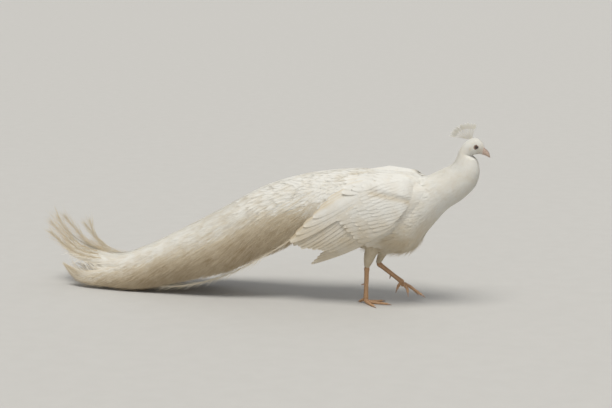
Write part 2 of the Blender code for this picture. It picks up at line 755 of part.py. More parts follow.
def bill(name, base_line, far_line, widths, shift):
    """One half of the bill: flat on the line of the mouth and round on the other side."""
    rings = []
    steps = 9
    away = station_axis(HEAD_END)
    for k in range(steps):
        t = (len(base_line) - 1) * k / (steps - 1)
        mouth = through(base_line, t)
        far = through(far_line, t)
        width = through(widths, t)[0]
        flat = Vector((mouth[0], 0, mouth[1])) + away * GAP + Vector((0, 0, shift))
        rise = Vector((far[0] - mouth[0], 0, far[1] - mouth[1]))
        ring = []
        for s in range(9):
            a = math.pi * s / 8
            ring.append(flat + Vector((0, width * math.cos(a), 0)) + rise * math.sin(a))
        rings.append(ring)
    return loft(name, rings)


def cut_nostrils(upper_bill):
    """A small dent on each side."""
    x, y, z = NOSTRIL
    dents = [ball("dent", (x, hand * y, z), NOSTRIL_RADIUS, 8, 6) for hand in (-1, 1)]
    return keep_largest(combine(upper_bill, dents, "DIFFERENCE"))


def tube(name, points, radii, sides, floor=None):
    """A closed round limb through the points. radii holds half thickness in line and across for each."""
    rings = []
    for k, centre in enumerate(points):
        before = points[max(k - 1, 0)]
        after = points[min(k + 1, len(points) - 1)]
        along = (after - before).normalized()
        across = along.cross(Vector((1, 0, 0)) if abs(along.z) > 0.8 else Vector((0, 0, 1))).normalized()
        up = across.cross(along).normalized()
        in_line, sideways = radii[k]
        ring = []
        for s in range(sides):
            a = math.tau * (s + 0.5) / sides
            p = centre + up * in_line * math.cos(a) + across * sideways * math.sin(a)
            if floor is not None:
                p.z = max(p.z, floor)
            ring.append(p)
        rings.append(ring)
    return loft(name, rings)


def thigh(name, line):
    """The feathered thigh, cut to the body above it."""
    points, radii = [], []
    steps = 9
    for k in range(steps):
        t = (len(line) - 1) * k / (steps - 1)
        x, y, z, in_line, sideways = through([(*c, a, b) for c, a, b in line], t)
        points.append(Vector((x, y, z)))
        radii.append((in_line, sideways))
    obj = tube(name, points, radii, 14)
    combine(obj, [grown_body()], "DIFFERENCE")
    return keep_largest(obj)


def shank(name, hock, heel, thigh_part):
    """The bare scaly shank between hock and toes, cut to the thigh above it."""
    points, radii = [], []
    start, end = Vector(hock), Vector(heel)
    steps = 9
    for k in range(steps):
        t = k / (steps - 1)
        in_line, sideways = hermite(SHANK, t)
        points.append(start.lerp(end, t))
        radii.append((in_line, sideways))
    obj = tube(name, points, radii, 10)
    combine(obj, [grown_copy(thigh_part, CLEAR)], "DIFFERENCE")
    return keep_largest(obj)


def limb_frame(hock, heel):
    """Along the shank, and square to it towards the bird's back."""
    along = (Vector(heel) - Vector(hock)).normalized()
    back = Vector((0, 1, 0)).cross(along).normalized()
    if back.x > 0:
        back = -back
    return along, back


def spur(name, hock, heel, shank_part):
    """The short horny spur behind the shank."""
    along, back = limb_frame(hock, heel)
    root = Vector(hock).lerp(Vector(heel), SPUR_PLACE) + back * 0.004
    points, radii = [], []
    for k in range(6):
        t = k / 5
        points.append(root + back * SPUR_LENGTH * t + along * 0.004 * t * t)
        r = SPUR_RADIUS * (1 - t) ** 0.7 + 0.0006
        radii.append((r, r))
    obj = tube(name, points, radii, 8)
    combine(obj, [grown_copy(shank_part, CLEAR)], "DIFFERENCE")
    return keep_largest(obj)


def grown_copy(obj, amount):
    """A copy moved out along its normals, to cut a neighbour."""
    shape = bmesh.new()
    shape.from_mesh(obj.data)
    shape.normal_update()
    moved = [v.co + v.normal * amount for v in shape.verts]
    for v, co in zip(shape.verts, moved):
        v.co = co
    mesh = bpy.data.meshes.new("cutter")
    shape.to_mesh(mesh)
    shape.free()
    copy = bpy.data.objects.new("cutter", mesh)
    bpy.context.scene.collection.objects.link(copy)
    return copy


def toe_tube(name, joints, floor):
    """One toe, thicker at its joints, from inside the foot to where its claw starts."""
    points, radii = [], []
    steps = 2 * (len(joints) - 1) + 1
    for k in range(steps):
        t = (len(joints) - 1) * k / (steps - 1)
        points.append(Vector(through(joints, t)))
        taper = TOE_RADIUS + (TOE_TIP_RADIUS - TOE_RADIUS) * k / (steps - 1)
        pad = 1.0 + 0.10 * math.cos(math.tau * t)
        radii.append((taper * pad, taper * pad * 1.02))
    return tube(name, points, radii, 6, floor)


def foot(side, heel, toes, floor, shank_part):
    """The foot: four toes joined at the heel, cut to the shank above it."""
    hub = ball("foot_" + side, Vector(heel) + Vector((0.001, 0, -0.007)), 0.0088, 12, 8)
    if floor is not None:
        for v in hub.data.vertices:
            v.co.z = max(v.co.z, floor)
    limbs = [toe_tube("toe", [Vector(p) for p in joints], floor) for joints in toes.values()]
    combine(hub, limbs, "UNION")
    combine(hub, [grown_copy(shank_part, CLEAR)], "DIFFERENCE")
    return keep_largest(hub)


def claw(name, joints, floor):
    """A curved claw that starts a gap beyond its toe."""
    last, before = Vector(joints[-1]), Vector(joints[-2])
    steps = 2 * (len(joints) - 1)
    near = Vector(through(joints, (len(joints) - 1) * (steps - 1) / steps))
    along = (last - near).normalized()
    points, radii = [], []
    for k in range(6):
        t = k / 5
        drop = Vector((0, 0, -0.0030 * t * t))
        points.append(last + along * (GAP + CLAW_LENGTH * t) + drop)
        r = 0.0034 * (1 - t) ** 0.6 + 0.0004
        radii.append((r, r * 0.9))
    return tube(name, points, radii, 6, floor)


def centre_on_floor(objects):
    """Moves the whole bird so that the origin is under the middle of its box, on the floor."""
    corners = [v.co for obj in objects for v in obj.data.vertices]
    lows = [min(c[k] for c in corners) for k in range(3)]
    highs = [max(c[k] for c in corners) for k in range(3)]
    move = Matrix.Translation((-(lows[0] + highs[0]) / 2, -(lows[1] + highs[1]) / 2, -lows[2]))
    for obj in objects:
        obj.data.transform(move)
    print("moved by", [round(v, 5) for v in move.translation])


def main():
    for obj in list(bpy.data.objects):
        bpy.data.objects.remove(obj)
    feather = make_material("feather", WHITE, 0.75)
    skin = make_material("leg_skin", LEG_SKIN, 0.55)
    horn = make_material("bill_horn", HORN, 0.40)
    claw_horn = make_material("claw_horn", CLAW, 0.45)
    eye_gloss = make_material("eye", EYE_BROWN, 0.08)

    made = [
        finish(body_part("torso", 0, TORSO_END, 0.5, BODY_SIDES), feather),
        finish(body_part("neck", TORSO_END, NECK_END, 0.5, BODY_SIDES), feather),
        finish(head(), feather),
        finish(train(), feather),
        finish(tail(), feather),
        finish(crest(), feather),
    ]
    upper_bill = bill("bill_upper", MOUTH, CULMEN, BILL_HALF_WIDTHS, 0.0)
    made.append(finish(cut_nostrils(upper_bill), horn))
    made.append(finish(bill("bill_lower", MOUTH, CHIN, BILL_HALF_WIDTHS, -GAP), horn))
    for side, hand in (("right", -1), ("left", 1)):
        x, y, z = EYE_CENTRE
        made.append(finish(ball("eye_" + side, (x, hand * y, z), EYE_RADIUS, 12, 8), eye_gloss))
        made.append(finish(wing(side, hand), feather))
    legs = (
        ("right", RIGHT_THIGH, RIGHT_HOCK, RIGHT_HEEL, RIGHT_TOES, 0.0),
        ("left", LEFT_THIGH, LEFT_HOCK, LEFT_HEEL, LEFT_TOES, None),
    )
    for side, line, hock, heel, toes, floor in legs:
        thigh_part = finish(thigh("thigh_" + side, line), feather)
        shank_part = finish(shank("shank_" + side, hock, heel, thigh_part), skin)
        made += [thigh_part, shank_part]
        made.append(finish(spur("spur_" + side, hock, heel, shank_part), claw_horn))
        made.append(finish(foot(side, heel, toes, floor, shank_part), skin))
        for toe, joints in toes.items():
            made.append(finish(claw(f"claw_{side}_{toe}", joints, floor), claw_horn))
    centre_on_floor(made)


main()
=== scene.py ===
"""Looks of the white peafowl cock: skin, feathers, bare parts, floor, light and camera.

Metres. Places are worked out in the bird's working frame, whose origin is on the floor under the standing
foot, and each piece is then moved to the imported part's frame by the place of the eyes.
"""

import json
import math

import bpy
import numpy as np
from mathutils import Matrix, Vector

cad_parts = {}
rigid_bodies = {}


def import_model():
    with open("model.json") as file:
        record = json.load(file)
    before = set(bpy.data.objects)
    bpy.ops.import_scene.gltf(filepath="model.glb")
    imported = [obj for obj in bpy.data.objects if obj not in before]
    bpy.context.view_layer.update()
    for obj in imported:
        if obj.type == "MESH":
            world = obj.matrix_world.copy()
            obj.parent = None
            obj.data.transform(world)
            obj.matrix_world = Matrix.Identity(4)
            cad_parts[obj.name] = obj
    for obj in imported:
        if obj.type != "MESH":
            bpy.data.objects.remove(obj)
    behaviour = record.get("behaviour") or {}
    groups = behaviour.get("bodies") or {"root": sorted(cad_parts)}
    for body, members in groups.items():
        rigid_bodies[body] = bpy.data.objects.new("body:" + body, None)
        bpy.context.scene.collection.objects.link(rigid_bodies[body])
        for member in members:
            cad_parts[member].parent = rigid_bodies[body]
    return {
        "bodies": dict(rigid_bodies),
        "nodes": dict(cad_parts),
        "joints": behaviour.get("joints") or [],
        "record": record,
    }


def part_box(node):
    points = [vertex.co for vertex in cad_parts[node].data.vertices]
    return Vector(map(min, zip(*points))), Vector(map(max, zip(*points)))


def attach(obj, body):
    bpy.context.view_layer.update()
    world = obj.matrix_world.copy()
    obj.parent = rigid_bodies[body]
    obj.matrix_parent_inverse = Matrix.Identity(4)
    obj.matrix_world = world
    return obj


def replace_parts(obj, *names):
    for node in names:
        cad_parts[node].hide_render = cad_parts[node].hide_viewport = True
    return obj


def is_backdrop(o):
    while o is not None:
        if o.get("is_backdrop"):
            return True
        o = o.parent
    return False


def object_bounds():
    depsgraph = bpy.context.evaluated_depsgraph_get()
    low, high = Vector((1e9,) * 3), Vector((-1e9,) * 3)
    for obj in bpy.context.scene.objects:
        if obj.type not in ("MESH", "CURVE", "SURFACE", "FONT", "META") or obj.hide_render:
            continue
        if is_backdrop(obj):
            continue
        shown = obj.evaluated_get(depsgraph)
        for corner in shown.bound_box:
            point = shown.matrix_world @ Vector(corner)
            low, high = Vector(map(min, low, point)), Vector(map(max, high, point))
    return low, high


# The photograph's camera, in the bird's working frame.
PHOTO_WIDTH = 612
FOCAL_PIXELS = 1640.0
CAMERA_PLACE = (1.5975, -5.6571, 1.4022)
CAMERA_TURN = 18.0
CAMERA_PITCH = 10.0
SENSOR = 36.0

# Each small tuft's patch on the unwrap of the skin.
PATCH = 0.003

# Body, neck and head: back point (x, z), front point (x, z) and half width of each section.
BODY = [
    (-0.285, 0.405, -0.290, 0.345, 0.034),
    (-0.235, 0.436, -0.245, 0.300, 0.060),
    (-0.165, 0.458, -0.175, 0.255, 0.088),
    (-0.085, 0.470, -0.095, 0.222, 0.106),
    (0.000, 0.478, -0.005, 0.203, 0.115),
    (0.085, 0.481, 0.085, 0.193, 0.117),
    (0.155, 0.480, 0.165, 0.209, 0.108),
    (0.208, 0.479, 0.222, 0.283, 0.092),
    (0.245, 0.494, 0.290, 0.362, 0.073),
    (0.278, 0.510, 0.346, 0.403, 0.058),
    (0.301, 0.522, 0.390, 0.450, 0.048),
    (0.316, 0.538, 0.405, 0.500, 0.041),
    (0.326, 0.558, 0.397, 0.543, 0.033),
    (0.331, 0.574, 0.379, 0.560, 0.026),
    (0.340, 0.592, 0.384, 0.5635, 0.0245),
    (0.353, 0.608, 0.391, 0.5665, 0.0245),
    (0.371, 0.6205, 0.399, 0.568, 0.0235),
    (0.389, 0.6255, 0.406, 0.5685, 0.0215),
    (0.404, 0.619, 0.411, 0.568, 0.0185),
    (0.4155, 0.607, 0.4155, 0.5665, 0.0145),
    (0.4225, 0.592, 0.4175, 0.5655, 0.0105),
]
BODY_END = len(BODY) - 1
BODY_POWER = 2.2
NECK_START = 7
HEAD_START = 13

# How deep the skin lies under the coat, by place along the body.
COAT_DEPTH = [(0, 0.005), (2, 0.0070), (7, 0.0065), (10, 0.004), (13, 0.0020), (16, 0.0010), (20, 0.0006)]

# Body feathers by place along the body: length, half width, spacing.
BODY_COAT = [
    (0, 0.042, 0.0090, 0.0082),
    (4, 0.044, 0.0090, 0.0080),
    (7, 0.034, 0.0062, 0.0056),
    (9, 0.025, 0.0036, 0.0038),
    (11, 0.017, 0.0023, 0.0027),
    (13, 0.0105, 0.00140, 0.00190),
    (16, 0.0075, 0.00100, 0.00150),
    (20, 0.0052, 0.00075, 0.00120),
]

# The side surface that the folded wings lie on: x, centre height, half height, half width.
SIDE = [
    (-0.40, 0.290, 0.200, 0.128),
    (-0.30, 0.295, 0.200, 0.127),
    (-0.20, 0.305, 0.198, 0.124),
    (-0.10, 0.325, 0.182, 0.123),
    (0.00, 0.338, 0.162, 0.1225),
    (0.085, 0.342, 0.154, 0.1215),
    (0.16, 0.352, 0.140, 0.113),
    (0.21, 0.388, 0.105, 0.097),
    (0.26, 0.430, 0.080, 0.075),
]
SIDE_POWER = 2.3

# Heights along the side surface above this one are measured round the back, not straight up.
SHOULDER = 0.440
SHOULDER_TOP = 0.494

# The wing's flesh and bone, (x, upper z, lower z).
WING_CORE = [
    (0.200, 0.440, 0.408),
    (0.172, 0.468, 0.356),
    (0.110, 0.477, 0.298),
    (0.055, 0.474, 0.272),
    (0.015, 0.463, 0.322),
    (-0.025, 0.445, 0.400),
]
WING_CORE_THICK = 0.0115

# Wing feathers from the body outwards: how many, roots of the first and last (x, z), tips of the first and
# last, height over the side surface, half width, and whether they are coverts, which follow the wing's front.
WING_ROWS = [
    (6, (0.060, 0.272), (0.090, 0.312), (-0.187, 0.154), (-0.136, 0.210), 0.0020, 0.0086, False),
    (10, (0.084, 0.306), (-0.004, 0.408), (-0.085, 0.207), (-0.252, 0.222), 0.0052, 0.0150, False),
    (6, (0.000, 0.402), (0.028, 0.474), (-0.258, 0.240), (-0.120, 0.392), 0.0100, 0.0185, False),
    (10, (0.098, 0.306), (0.008, 0.448), (-0.008, 0.256), (-0.122, 0.362), 0.0132, 0.0145, True),
    (10, (0.116, 0.320), (0.026, 0.458), (0.026, 0.276), (-0.084, 0.390), 0.0152, 0.0130, True),
    (11, (0.132, 0.336), (0.050, 0.466), (0.052, 0.298), (-0.048, 0.410), 0.0168, 0.0112, True),
    (11, (0.148, 0.352), (0.072, 0.470), (0.076, 0.318), (-0.014, 0.424), 0.0182, 0.0100, True),
    (11, (0.160, 0.368), (0.092, 0.472), (0.098, 0.338), (0.018, 0.434), 0.0194, 0.0090, True),
    (11, (0.172, 0.384), (0.110, 0.474), (0.116, 0.356), (0.044, 0.442), 0.0204, 0.0082, True),
    (11, (0.182, 0.398), (0.128, 0.476), (0.132, 0.372), (0.068, 0.448), 0.0212, 0.0076, True),
    (10, (0.190, 0.410), (0.144, 0.478), (0.146, 0.388), (0.090, 0.454), 0.0219, 0.0070, True),
    (10, (0.197, 0.422), (0.160, 0.480), (0.158, 0.402), (0.110, 0.458), 0.0225, 0.0066, True),
    (9, (0.204, 0.430), (0.176, 0.480), (0.170, 0.414), (0.130, 0.462), 0.0230, 0.0062, True),
    (8, (0.212, 0.436), (0.190, 0.478), (0.182, 0.424), (0.150, 0.464), 0.0234, 0.0060, True),
]

# How far the middle of a wing feather bows, how much its length and level vary from one to the next, and how
# high its root may stand at most.
FLIGHT_BOW = 0.016
COVERT_BOW = 0.010
LENGTH_VARIES = 0.03
LEVEL_VARIES = 0.0004
ROOT_HEIGHT = 0.0085

# Where the wing's rows sink: how deep, between which x, between which heights, and whether only coverts do.
ANY_HEIGHT = (-1.0, 0.0)
ROW_DROPS = [
    (0.010, (0.03, 0.14), ANY_HEIGHT, True),
    (0.022, (0.150, 0.205), ANY_HEIGHT, False),
    (0.014, (0.120, 0.190), (0.470, 0.520), False),
    (0.013, (0.03, -0.05), (0.440, 0.500), True),
]

# Scapulars, which make the smooth hump from the shoulder over the back, as rows like the wing's.
SCAPULARS = [
    (9, (0.070, 0.446), (0.060, 0.560), (-0.070, 0.420), (-0.050, 0.555), 0.0150, 0.0125, True),
    (9, (0.096, 0.450), (0.086, 0.562), (-0.030, 0.432), (-0.014, 0.558), 0.0172, 0.0120, True),
    (9, (0.122, 0.454), (0.112, 0.564), (0.006, 0.442), (0.018, 0.560), 0.0188, 0.0112, True),
    (9, (0.146, 0.456), (0.138, 0.560), (0.040, 0.450), (0.050, 0.560), 0.0202, 0.0104, True),
    (9, (0.166, 0.456), (0.160, 0.548), (0.074, 0.456), (0.080, 0.556), 0.0214, 0.0096, True),
    (8, (0.184, 0.456), (0.180, 0.530), (0.106, 0.458), (0.110, 0.544), 0.0222, 0.0088, True),
    (7, (0.200, 0.454), (0.198, 0.505), (0.136, 0.456), (0.138, 0.520), 0.0226, 0.0078, True),
]

# The lower edge of the hump that the scapulars make: its rear end (x, z) and how fast it falls forwards. The
# last value is how far the hump stands out.
# The wing feathers carry a painted shadow in a band just under this edge.
HUMP_LINE = (0.04, 0.430)
HUMP_SLOPE = 0.16
HUMP_HEIGHT = 0.0065

# Flank feathers that cover the wing's lower front edge, which runs from the first point to the second (x, z).
WING_EDGE = ((0.205, 0.428), (0.046, 0.276))
SHOULDER_EDGE = ((0.180, 0.528), (0.205, 0.428))
SHOULDER_WAY = (0.965, 0.26)
FLANK_WAY = (0.69, -0.72)
FLANK_ROWS = 9
FLANK_LEAD = 0.066
FLANK_STEP = 0.0076
FLANK_LENGTH = 0.036
FLANK_HALF_WIDTH = 0.0054
FLANK_HEIGHT = 0.0235
FLANK_SUNK = 0.007
NECK_SUNK = 0.021

# The train's outer surface: x, top height, half width, half height and how many degrees it reaches round.
TRAIN = [
    (0.040, 0.4930, 0.100, 0.130, 33.0),
    (-0.030, 0.4970, 0.112, 0.145, 48.0),
    (-0.150, 0.4850, 0.116, 0.152, 84.0),
    (-0.270, 0.4600, 0.113, 0.160, 114.0),
    (-0.400, 0.4150, 0.126, 0.165, 117.0),
    (-0.520, 0.3500, 0.140, 0.160, 115.0),
    (-0.650, 0.2780, 0.140, 0.135, 115.0),
    (-0.780, 0.2090, 0.132, 0.112, 114.0),
    (-0.880, 0.1600, 0.125, 0.100, 104.0),
    (-0.985, 0.1220, 0.120, 0.085, 90.0),
    (-1.070, 0.1240, 0.115, 0.085, 78.0),
    (-1.150, 0.1380, 0.105, 0.090, 72.0),
    (-1.220, 0.1820, 0.095, 0.090, 55.0),
    (-1.275, 0.2340, 0.085, 0.090, 50.0),
]

# The back in front of the train, on the same surface.
BACK_FRONT = [
    (0.205, 0.4800, 0.070, 0.095, 34.0),
    (0.160, 0.4890, 0.085, 0.110, 34.0),
    (0.100, 0.4930, 0.094, 0.122, 33.0),
]

# Train feathers from the shortest, on top, to the longest: x of root and tip at each rank from 0 to 1.
TRAIN_RANKS = [
    (0.0, 0.018, -0.130),
    (0.14, -0.060, -0.300),
    (0.28, -0.160, -0.470),
    (0.42, -0.255, -0.640),
    (0.57, -0.345, -0.800),
    (0.71, -0.420, -0.960),
    (0.86, -0.470, -1.120),
    (1.0, -0.490, -1.262),
]
TRAIN_THICK = 0.040
TRAIN_TIP = -1.290
LOCKS = 12.0
LOCKS_FROM = 0.98
LOCKS_FULL = 1.27
LOCK_DRAW = 0.80
PARTING_FULL = 1.10
PARTING_SPREAD = 0.07
PARTING_SOFT = 0.03
LOWER_DROP = 0.020
PARTING = 0.90
LOWER_TIP = -1.195
LOCK_LIFT = 0.012
CORE_END = -0.50

# Train feathers: how many in each tier, how many more in the longest tiers, how far round they reach, where
# the last tip lies, and the half width of a vane and how much wider the longest are.
SHAFTS = 15
MORE_SHAFTS = 9
SHAFT_REACH = 0.96
LAST_TIP = -1.270
VANE_HALF_WIDTH = 0.0060
VANE_GROWTH = 0.003

# Barbs: how many on a short shaft and how many more on the longest, their length and how much longer the
# longest shaft's are, the share of it that lies along the train, the least length and the widths.
SHAFT_BARBS = 44
MORE_BARBS = 30
BARB_LENGTH = 0.034
BARB_GROWTH = 0.034
BARB_AHEAD = 0.9
LEAST_BARB = 0.012
BARB_WIDTHS = (0.0011, 0.0020)
FRINGE_SPREAD = (0.02, 0.26)
SHAFT_SPREAD = (0.12, 0.34)

# The lowest train feathers: x, height of their underside, half width of the fan.
LOW_TRAIN = [
    (-0.268, 0.421, 0.032),
    (-0.335, 0.376, 0.043),
    (-0.400, 0.284, 0.055),
    (-0.520, 0.170, 0.078),
    (-0.660, 0.080, 0.092),
    (-0.780, 0.022, 0.100),
    (-0.860, 0.0035, 0.100),
    (-0.940, 0.0035, 0.100),
    (-1.050, 0.018, 0.094),
    (-1.190, 0.080, 0.080),
]

# The true tail under the train: x, height, half width of the fan.
TAIL = [
    (-0.300, 0.372, 0.012),
    (-0.375, 0.256, 0.032),
    (-0.440, 0.190, 0.048),
    (-0.520, 0.132, 0.062),
    (-0.620, 0.074, 0.074),
]

# Crest: the pad on the crown and the fan of angles above forwards.
CREST_PAD = (0.3700, 0.6195)
CREST_ANGLES = (76.0, 172.0)
CREST_LENGTHS = (0.050, 0.061)
CREST_COUNT = 26

# Thighs: centre (x, y, z), half thickness fore and aft, half thickness sideways.
RIGHT_THIGH = [
    (0.052, -0.056, 0.290, 0.048, 0.040),
    (0.040, -0.053, 0.245, 0.036, 0.031),
    (0.024, -0.047, 0.205, 0.024, 0.022),
    (0.012, -0.038, 0.172, 0.0180, 0.0165),
    (0.006, -0.034, 0.152, 0.0125, 0.0115),
    (0.003, -0.032, 0.140, 0.0088, 0.0080),
]
LEFT_THIGH = [
    (0.088, 0.056, 0.285, 0.046, 0.040),
    (0.070, 0.055, 0.240, 0.032, 0.029),
    (0.046, 0.052, 0.195, 0.0195, 0.0185),
    (0.033, 0.051, 0.165, 0.0130, 0.0125),
    (0.026, 0.050, 0.146, 0.0096, 0.0090),
    (0.0235, 0.050, 0.1385, 0.0084, 0.0078),
]
THIGH_DEPTH = 0.0030

# Bill: the lines of its ridge, mouth and chin (x, z), its half width at each, and the nostril's middle.
CULMEN = [(0.4228, 0.5905), (0.4325, 0.5835), (0.4400, 0.5730), (0.4446, 0.5560)]
MOUTH = [(0.4190, 0.5740), (0.4285, 0.5705), (0.4370, 0.5645), (0.4432, 0.5580)]
CHIN = [(0.4180, 0.5668), (0.4262, 0.5640), (0.4340, 0.5605), (0.4405, 0.5572)]
BILL_HALF_WIDTHS = [(0.0094,), (0.0074,), (0.0048,), (0.0012,)]
NOSTRIL = (0.4290, 0.5795)
BILL_LIFT = 0.00012

# Shanks, from hock to heel: share of the way, half thickness fore and aft, half thickness sideways.
RIGHT_HOCK = (0.003, -0.032, 0.1395)
RIGHT_HEEL = (-0.004, -0.018, 0.018)
LEFT_HOCK = (0.0230, 0.050, 0.1375)
LEFT_HEEL = (0.118, 0.045, 0.0735)
SHANK = [
    (0.00, 0.0088, 0.0080),
    (0.07, 0.0100, 0.0088),
    (0.18, 0.0086, 0.0066),
    (0.50, 0.0076, 0.0056),
    (0.80, 0.0078, 0.0062),
    (0.95, 0.0088, 0.0080),
    (1.00, 0.0086, 0.0080),
]
SHANK_OVERLAP = 0.045
SCUTE = 0.0052
SPUR_PLACE = 0.56
SPUR_LENGTH = 0.016
SPUR_RADIUS = 0.0040

# Toes, as joints (x, y, z) from the heel to where the claw starts.
TOE_RADIUS = 0.0062
TOE_TIP_RADIUS = 0.0042
CLAW_LENGTH = 0.014
CLAW_RADIUS = 0.0034
CLAW_DROP = (0, 0, -0.0030)
CLAW_SUNK = 0.001
HUB_PLACE = (0.001, 0, -0.007)
HUB_RADIUS = 0.0090
RIGHT_TOES = {
    "inner": [(0.001, -0.014, 0.0070), (0.025, 0.007, 0.0038), (0.046, 0.025, 0.0034)],
    "middle": [
        (0.003, -0.018, 0.0075), (0.033, -0.018, 0.0040), (0.059, -0.018, 0.0037), (0.081, -0.019, 0.0034),
    ],
    "outer": [
        (0.000, -0.023, 0.0070), (0.017, -0.042, 0.0040), (0.032, -0.059, 0.0037), (0.044, -0.072, 0.0034),
    ],
    "hind": [(-0.009, -0.016, 0.0160), (-0.021, -0.011, 0.0086), (-0.030, -0.007, 0.0040)],
}
LEFT_TOES = {
    "inner": [(0.122, 0.040, 0.0690), (0.139, 0.030, 0.0540), (0.143, 0.026, 0.0400)],
    "middle": [
        (0.124, 0.045, 0.0700), (0.151, 0.045, 0.0560), (0.173, 0.045, 0.0420), (0.192, 0.045, 0.0310),
    ],
    "outer": [(0.122, 0.050, 0.0690), (0.143, 0.060, 0.0560), (0.156, 0.068, 0.0430), (0.163, 0.073, 0.0330)],
    "hind": [(0.111, 0.044, 0.0725), (0.103, 0.042, 0.0600), (0.098, 0.041, 0.0480)],
}

# Both legs: side, hock, heel and toes.
LEGS = [("right", RIGHT_HOCK, RIGHT_HEEL, RIGHT_TOES), ("left", LEFT_HOCK, LEFT_HEEL, LEFT_TOES)]

# Lamps: name, turn about x, y and z in degrees, softness, power and colour.
SUNS = [
    ("key", (22, 0, 8), 0.5, 2.55, (1.0, 0.98, 0.94)),
    ("low", (72, 0, 10), 0.9, 0.30, (1.0, 0.97, 0.92)),
    ("back", (50, 0, 165), 1.0, 0.30, (0.94, 0.97, 1.0)),
]

EYE_CENTRE = (0.398, 0.0165, 0.5945)
EYE_RADIUS = 0.0072
LID_RADIUS = 0.0104
LID_OPENING = 0.0055
GAZE = (0.20, 1.0, 0.05)

# The cream ear patch behind the eye.
EAR = (0.3815, 0.5900)
EAR_SIZE = 0.0062

# The plumage turns from white through cream to tan as its tint rises. The tint is painted shade towards
# roots, along covered edges and under the hump, and low on the bird it is partly stain and partly painted
# shade.
WHITE = (0.87, 0.855, 0.80)
CREAM = (0.72, 0.63, 0.47)
TAN = (0.40, 0.29, 0.155)
SKIN_CREAM = (0.78, 0.73, 0.63)
LID_BROWN = (0.13, 0.075, 0.055)

# How much each of the last rows of a wing feather frays, up to its tip.
RAGGED_TIP = np.array([0.2, 0.5, 0.8, 1.0])

# Both sides of the bird, where hand is -1 on its right.
SIDES = (("right", -1), ("left", 1))

# The seed of each piece's random draws.
SEEDS = {
    "coat": 11,
    "down": 53,
    "thigh": 31,
    "wing_right": 5,
    "wing_left": 6,
    "train": 17,
    "ends": 43,
    "low_train": 23,
    "loose": 61,
    "filaments": 67,
    "back": 29,
    "tail": 37,
    "crest": 41,
}

# How high the lowest points of the meshes lie, a step that finds the way out of a surface and one along it.
LOWEST = 0.0004
PROBE = 0.001
STEP = 0.01

# How roots are scattered: rows and columns of squares they may lie in, how many are tried for each that fits,
# the least gap as a share of the spacing, and the size of the cells in which near ones are looked for.
SCATTER_GRID = (500, 180)
ROOTS_TRIED = 2.2
LEAST_GAP = 0.78
CELL = 0.014

# The coat's groups along the body: piece, first and last section, how far its feathers' tips stand off.
COAT_GROUPS = [
    ("coat_torso", -1, NECK_START, 0.0012),
    ("coat_neck", NECK_START, HEAD_START, 0.0006),
    ("coat_head", HEAD_START, 99, 0.0002),
]

# Feathers of the thighs, from body to hock, and of the back, by x: place, length, half width, spacing.
THIGH_COAT = [
    (0, 0.030, 0.0060, 0.0060),
    (2, 0.022, 0.0042, 0.0042),
    (4, 0.015, 0.0026, 0.0028),
    (5, 0.013, 0.0020, 0.0022),
]
BACK_COAT = [
    (-0.56, 0.080, 0.0110, 0.0125),
    (-0.30, 0.060, 0.0100, 0.0105),
    (-0.10, 0.048, 0.0092, 0.0090),
    (0.20, 0.038, 0.0080, 0.0080),
]

# How deep their roots lie, by the same places.
THIGH_DEPTHS = [(0, THIGH_DEPTH), (5, 0.0012)]
BACK_DEPTHS = [(-0.56, 0.0042), (0.20, 0.0050)]

# How many tiers, shafts, barbs and filaments there are, and how many points each has along it.
TRAIN_TIERS = 16
SHAFT_ROWS = 26
BARB_STEPS = 5
FRINGE_BARBS = 20
LOW_COUNT = 21
LOW_ROWS = 30
LOOSE_ROWS = 40
LOOSE_BARBS = 330
FILAMENTS = 3000
FILAMENT_SPAN = (-1.00, -0.20)
FILAMENT_LENGTHS = (0.045, 0.105)
FILAMENT_WIDTHS = (0.0009, 0.0017)
LOOSE_HALF_WIDTH = 0.0019
TAIL_HALF_WIDTH = 0.0135
LOW_HALF_WIDTH = 0.0085
TAIL_COUNT = 20
CREST_FAN = 38
CREST_BEARD = 9
CREST_STALK = 0.00050

# Along x: the first and last row of soft ends, how far back they reach, and where the parting starts.
ENDS_FROM = -0.10
ENDS_TO = -1.06
ENDS_LIMIT = 1.275
PARTING_FROM = -0.985
PARTING_WIDTH = 0.10

# The feathers' finish: roughness, sheen, share of light let through, and scale of their patches and barbs.
FEATHER_ROUGHNESS = 0.62
FEATHER_SHEEN = 0.15
FEATHER_THROUGH = 0.26
FEATHER_PATCHES = 26.0
FEATHER_BARBS = 22.0

# Bare parts and floor: two close colours, roughness, scale of the mottling and height of the grain.
LOOKS = {
    "face": ((0.64, 0.50, 0.42), (0.52, 0.39, 0.32), 0.55, 420.0, 0.0004),
    "eye": ((0.03, 0.016, 0.010), (0.05, 0.025, 0.015), 0.08, 300.0, 0.0),
    "bill_horn": ((0.52, 0.39, 0.31), (0.42, 0.32, 0.26), 0.42, 260.0, 0.0003),
    "leg_skin": ((0.54, 0.33, 0.18), (0.43, 0.25, 0.13), 0.5, 320.0, 0.0004),
    "claw_horn": ((0.50, 0.36, 0.28), (0.40, 0.28, 0.21), 0.38, 300.0, 0.0002),
    "floor": ((0.480, 0.468, 0.440), (0.492, 0.480, 0.452), 0.85, 14.0, 0.0004),
}

# The colours that these turn to in grooves and towards tips.
DARK_LOOKS = {
    "bill_horn": (0.20, 0.15, 0.12),
    "leg_skin": (0.21, 0.11, 0.05),
    "claw_horn": (0.20, 0.14, 0.11),
}

# The eye's colours from the middle of the pupil outwards, as (place, colour), its two ends first.
EYE_COLOURS = (
    (0.10, (0.004, 0.004, 0.004)),
    (0.30, (0.012, 0.007, 0.005)),
    (0.125, (0.055, 0.026, 0.014)),
    (0.22, (0.030, 0.015, 0.009)),
)

FLOOR_SIZE = 90
SKY_COLOUR = (0.94, 0.96, 1.0, 1.0)
SKY_POWER = 0.42

# A small feather's half width at each row from root to tip.
SMALL_ROWS = np.array([0.0, 0.20, 0.42, 0.64, 0.84, 1.0])
SMALL_WIDTHS = np.array([0.45, 0.82, 1.0, 0.90, 0.58, 0.10])

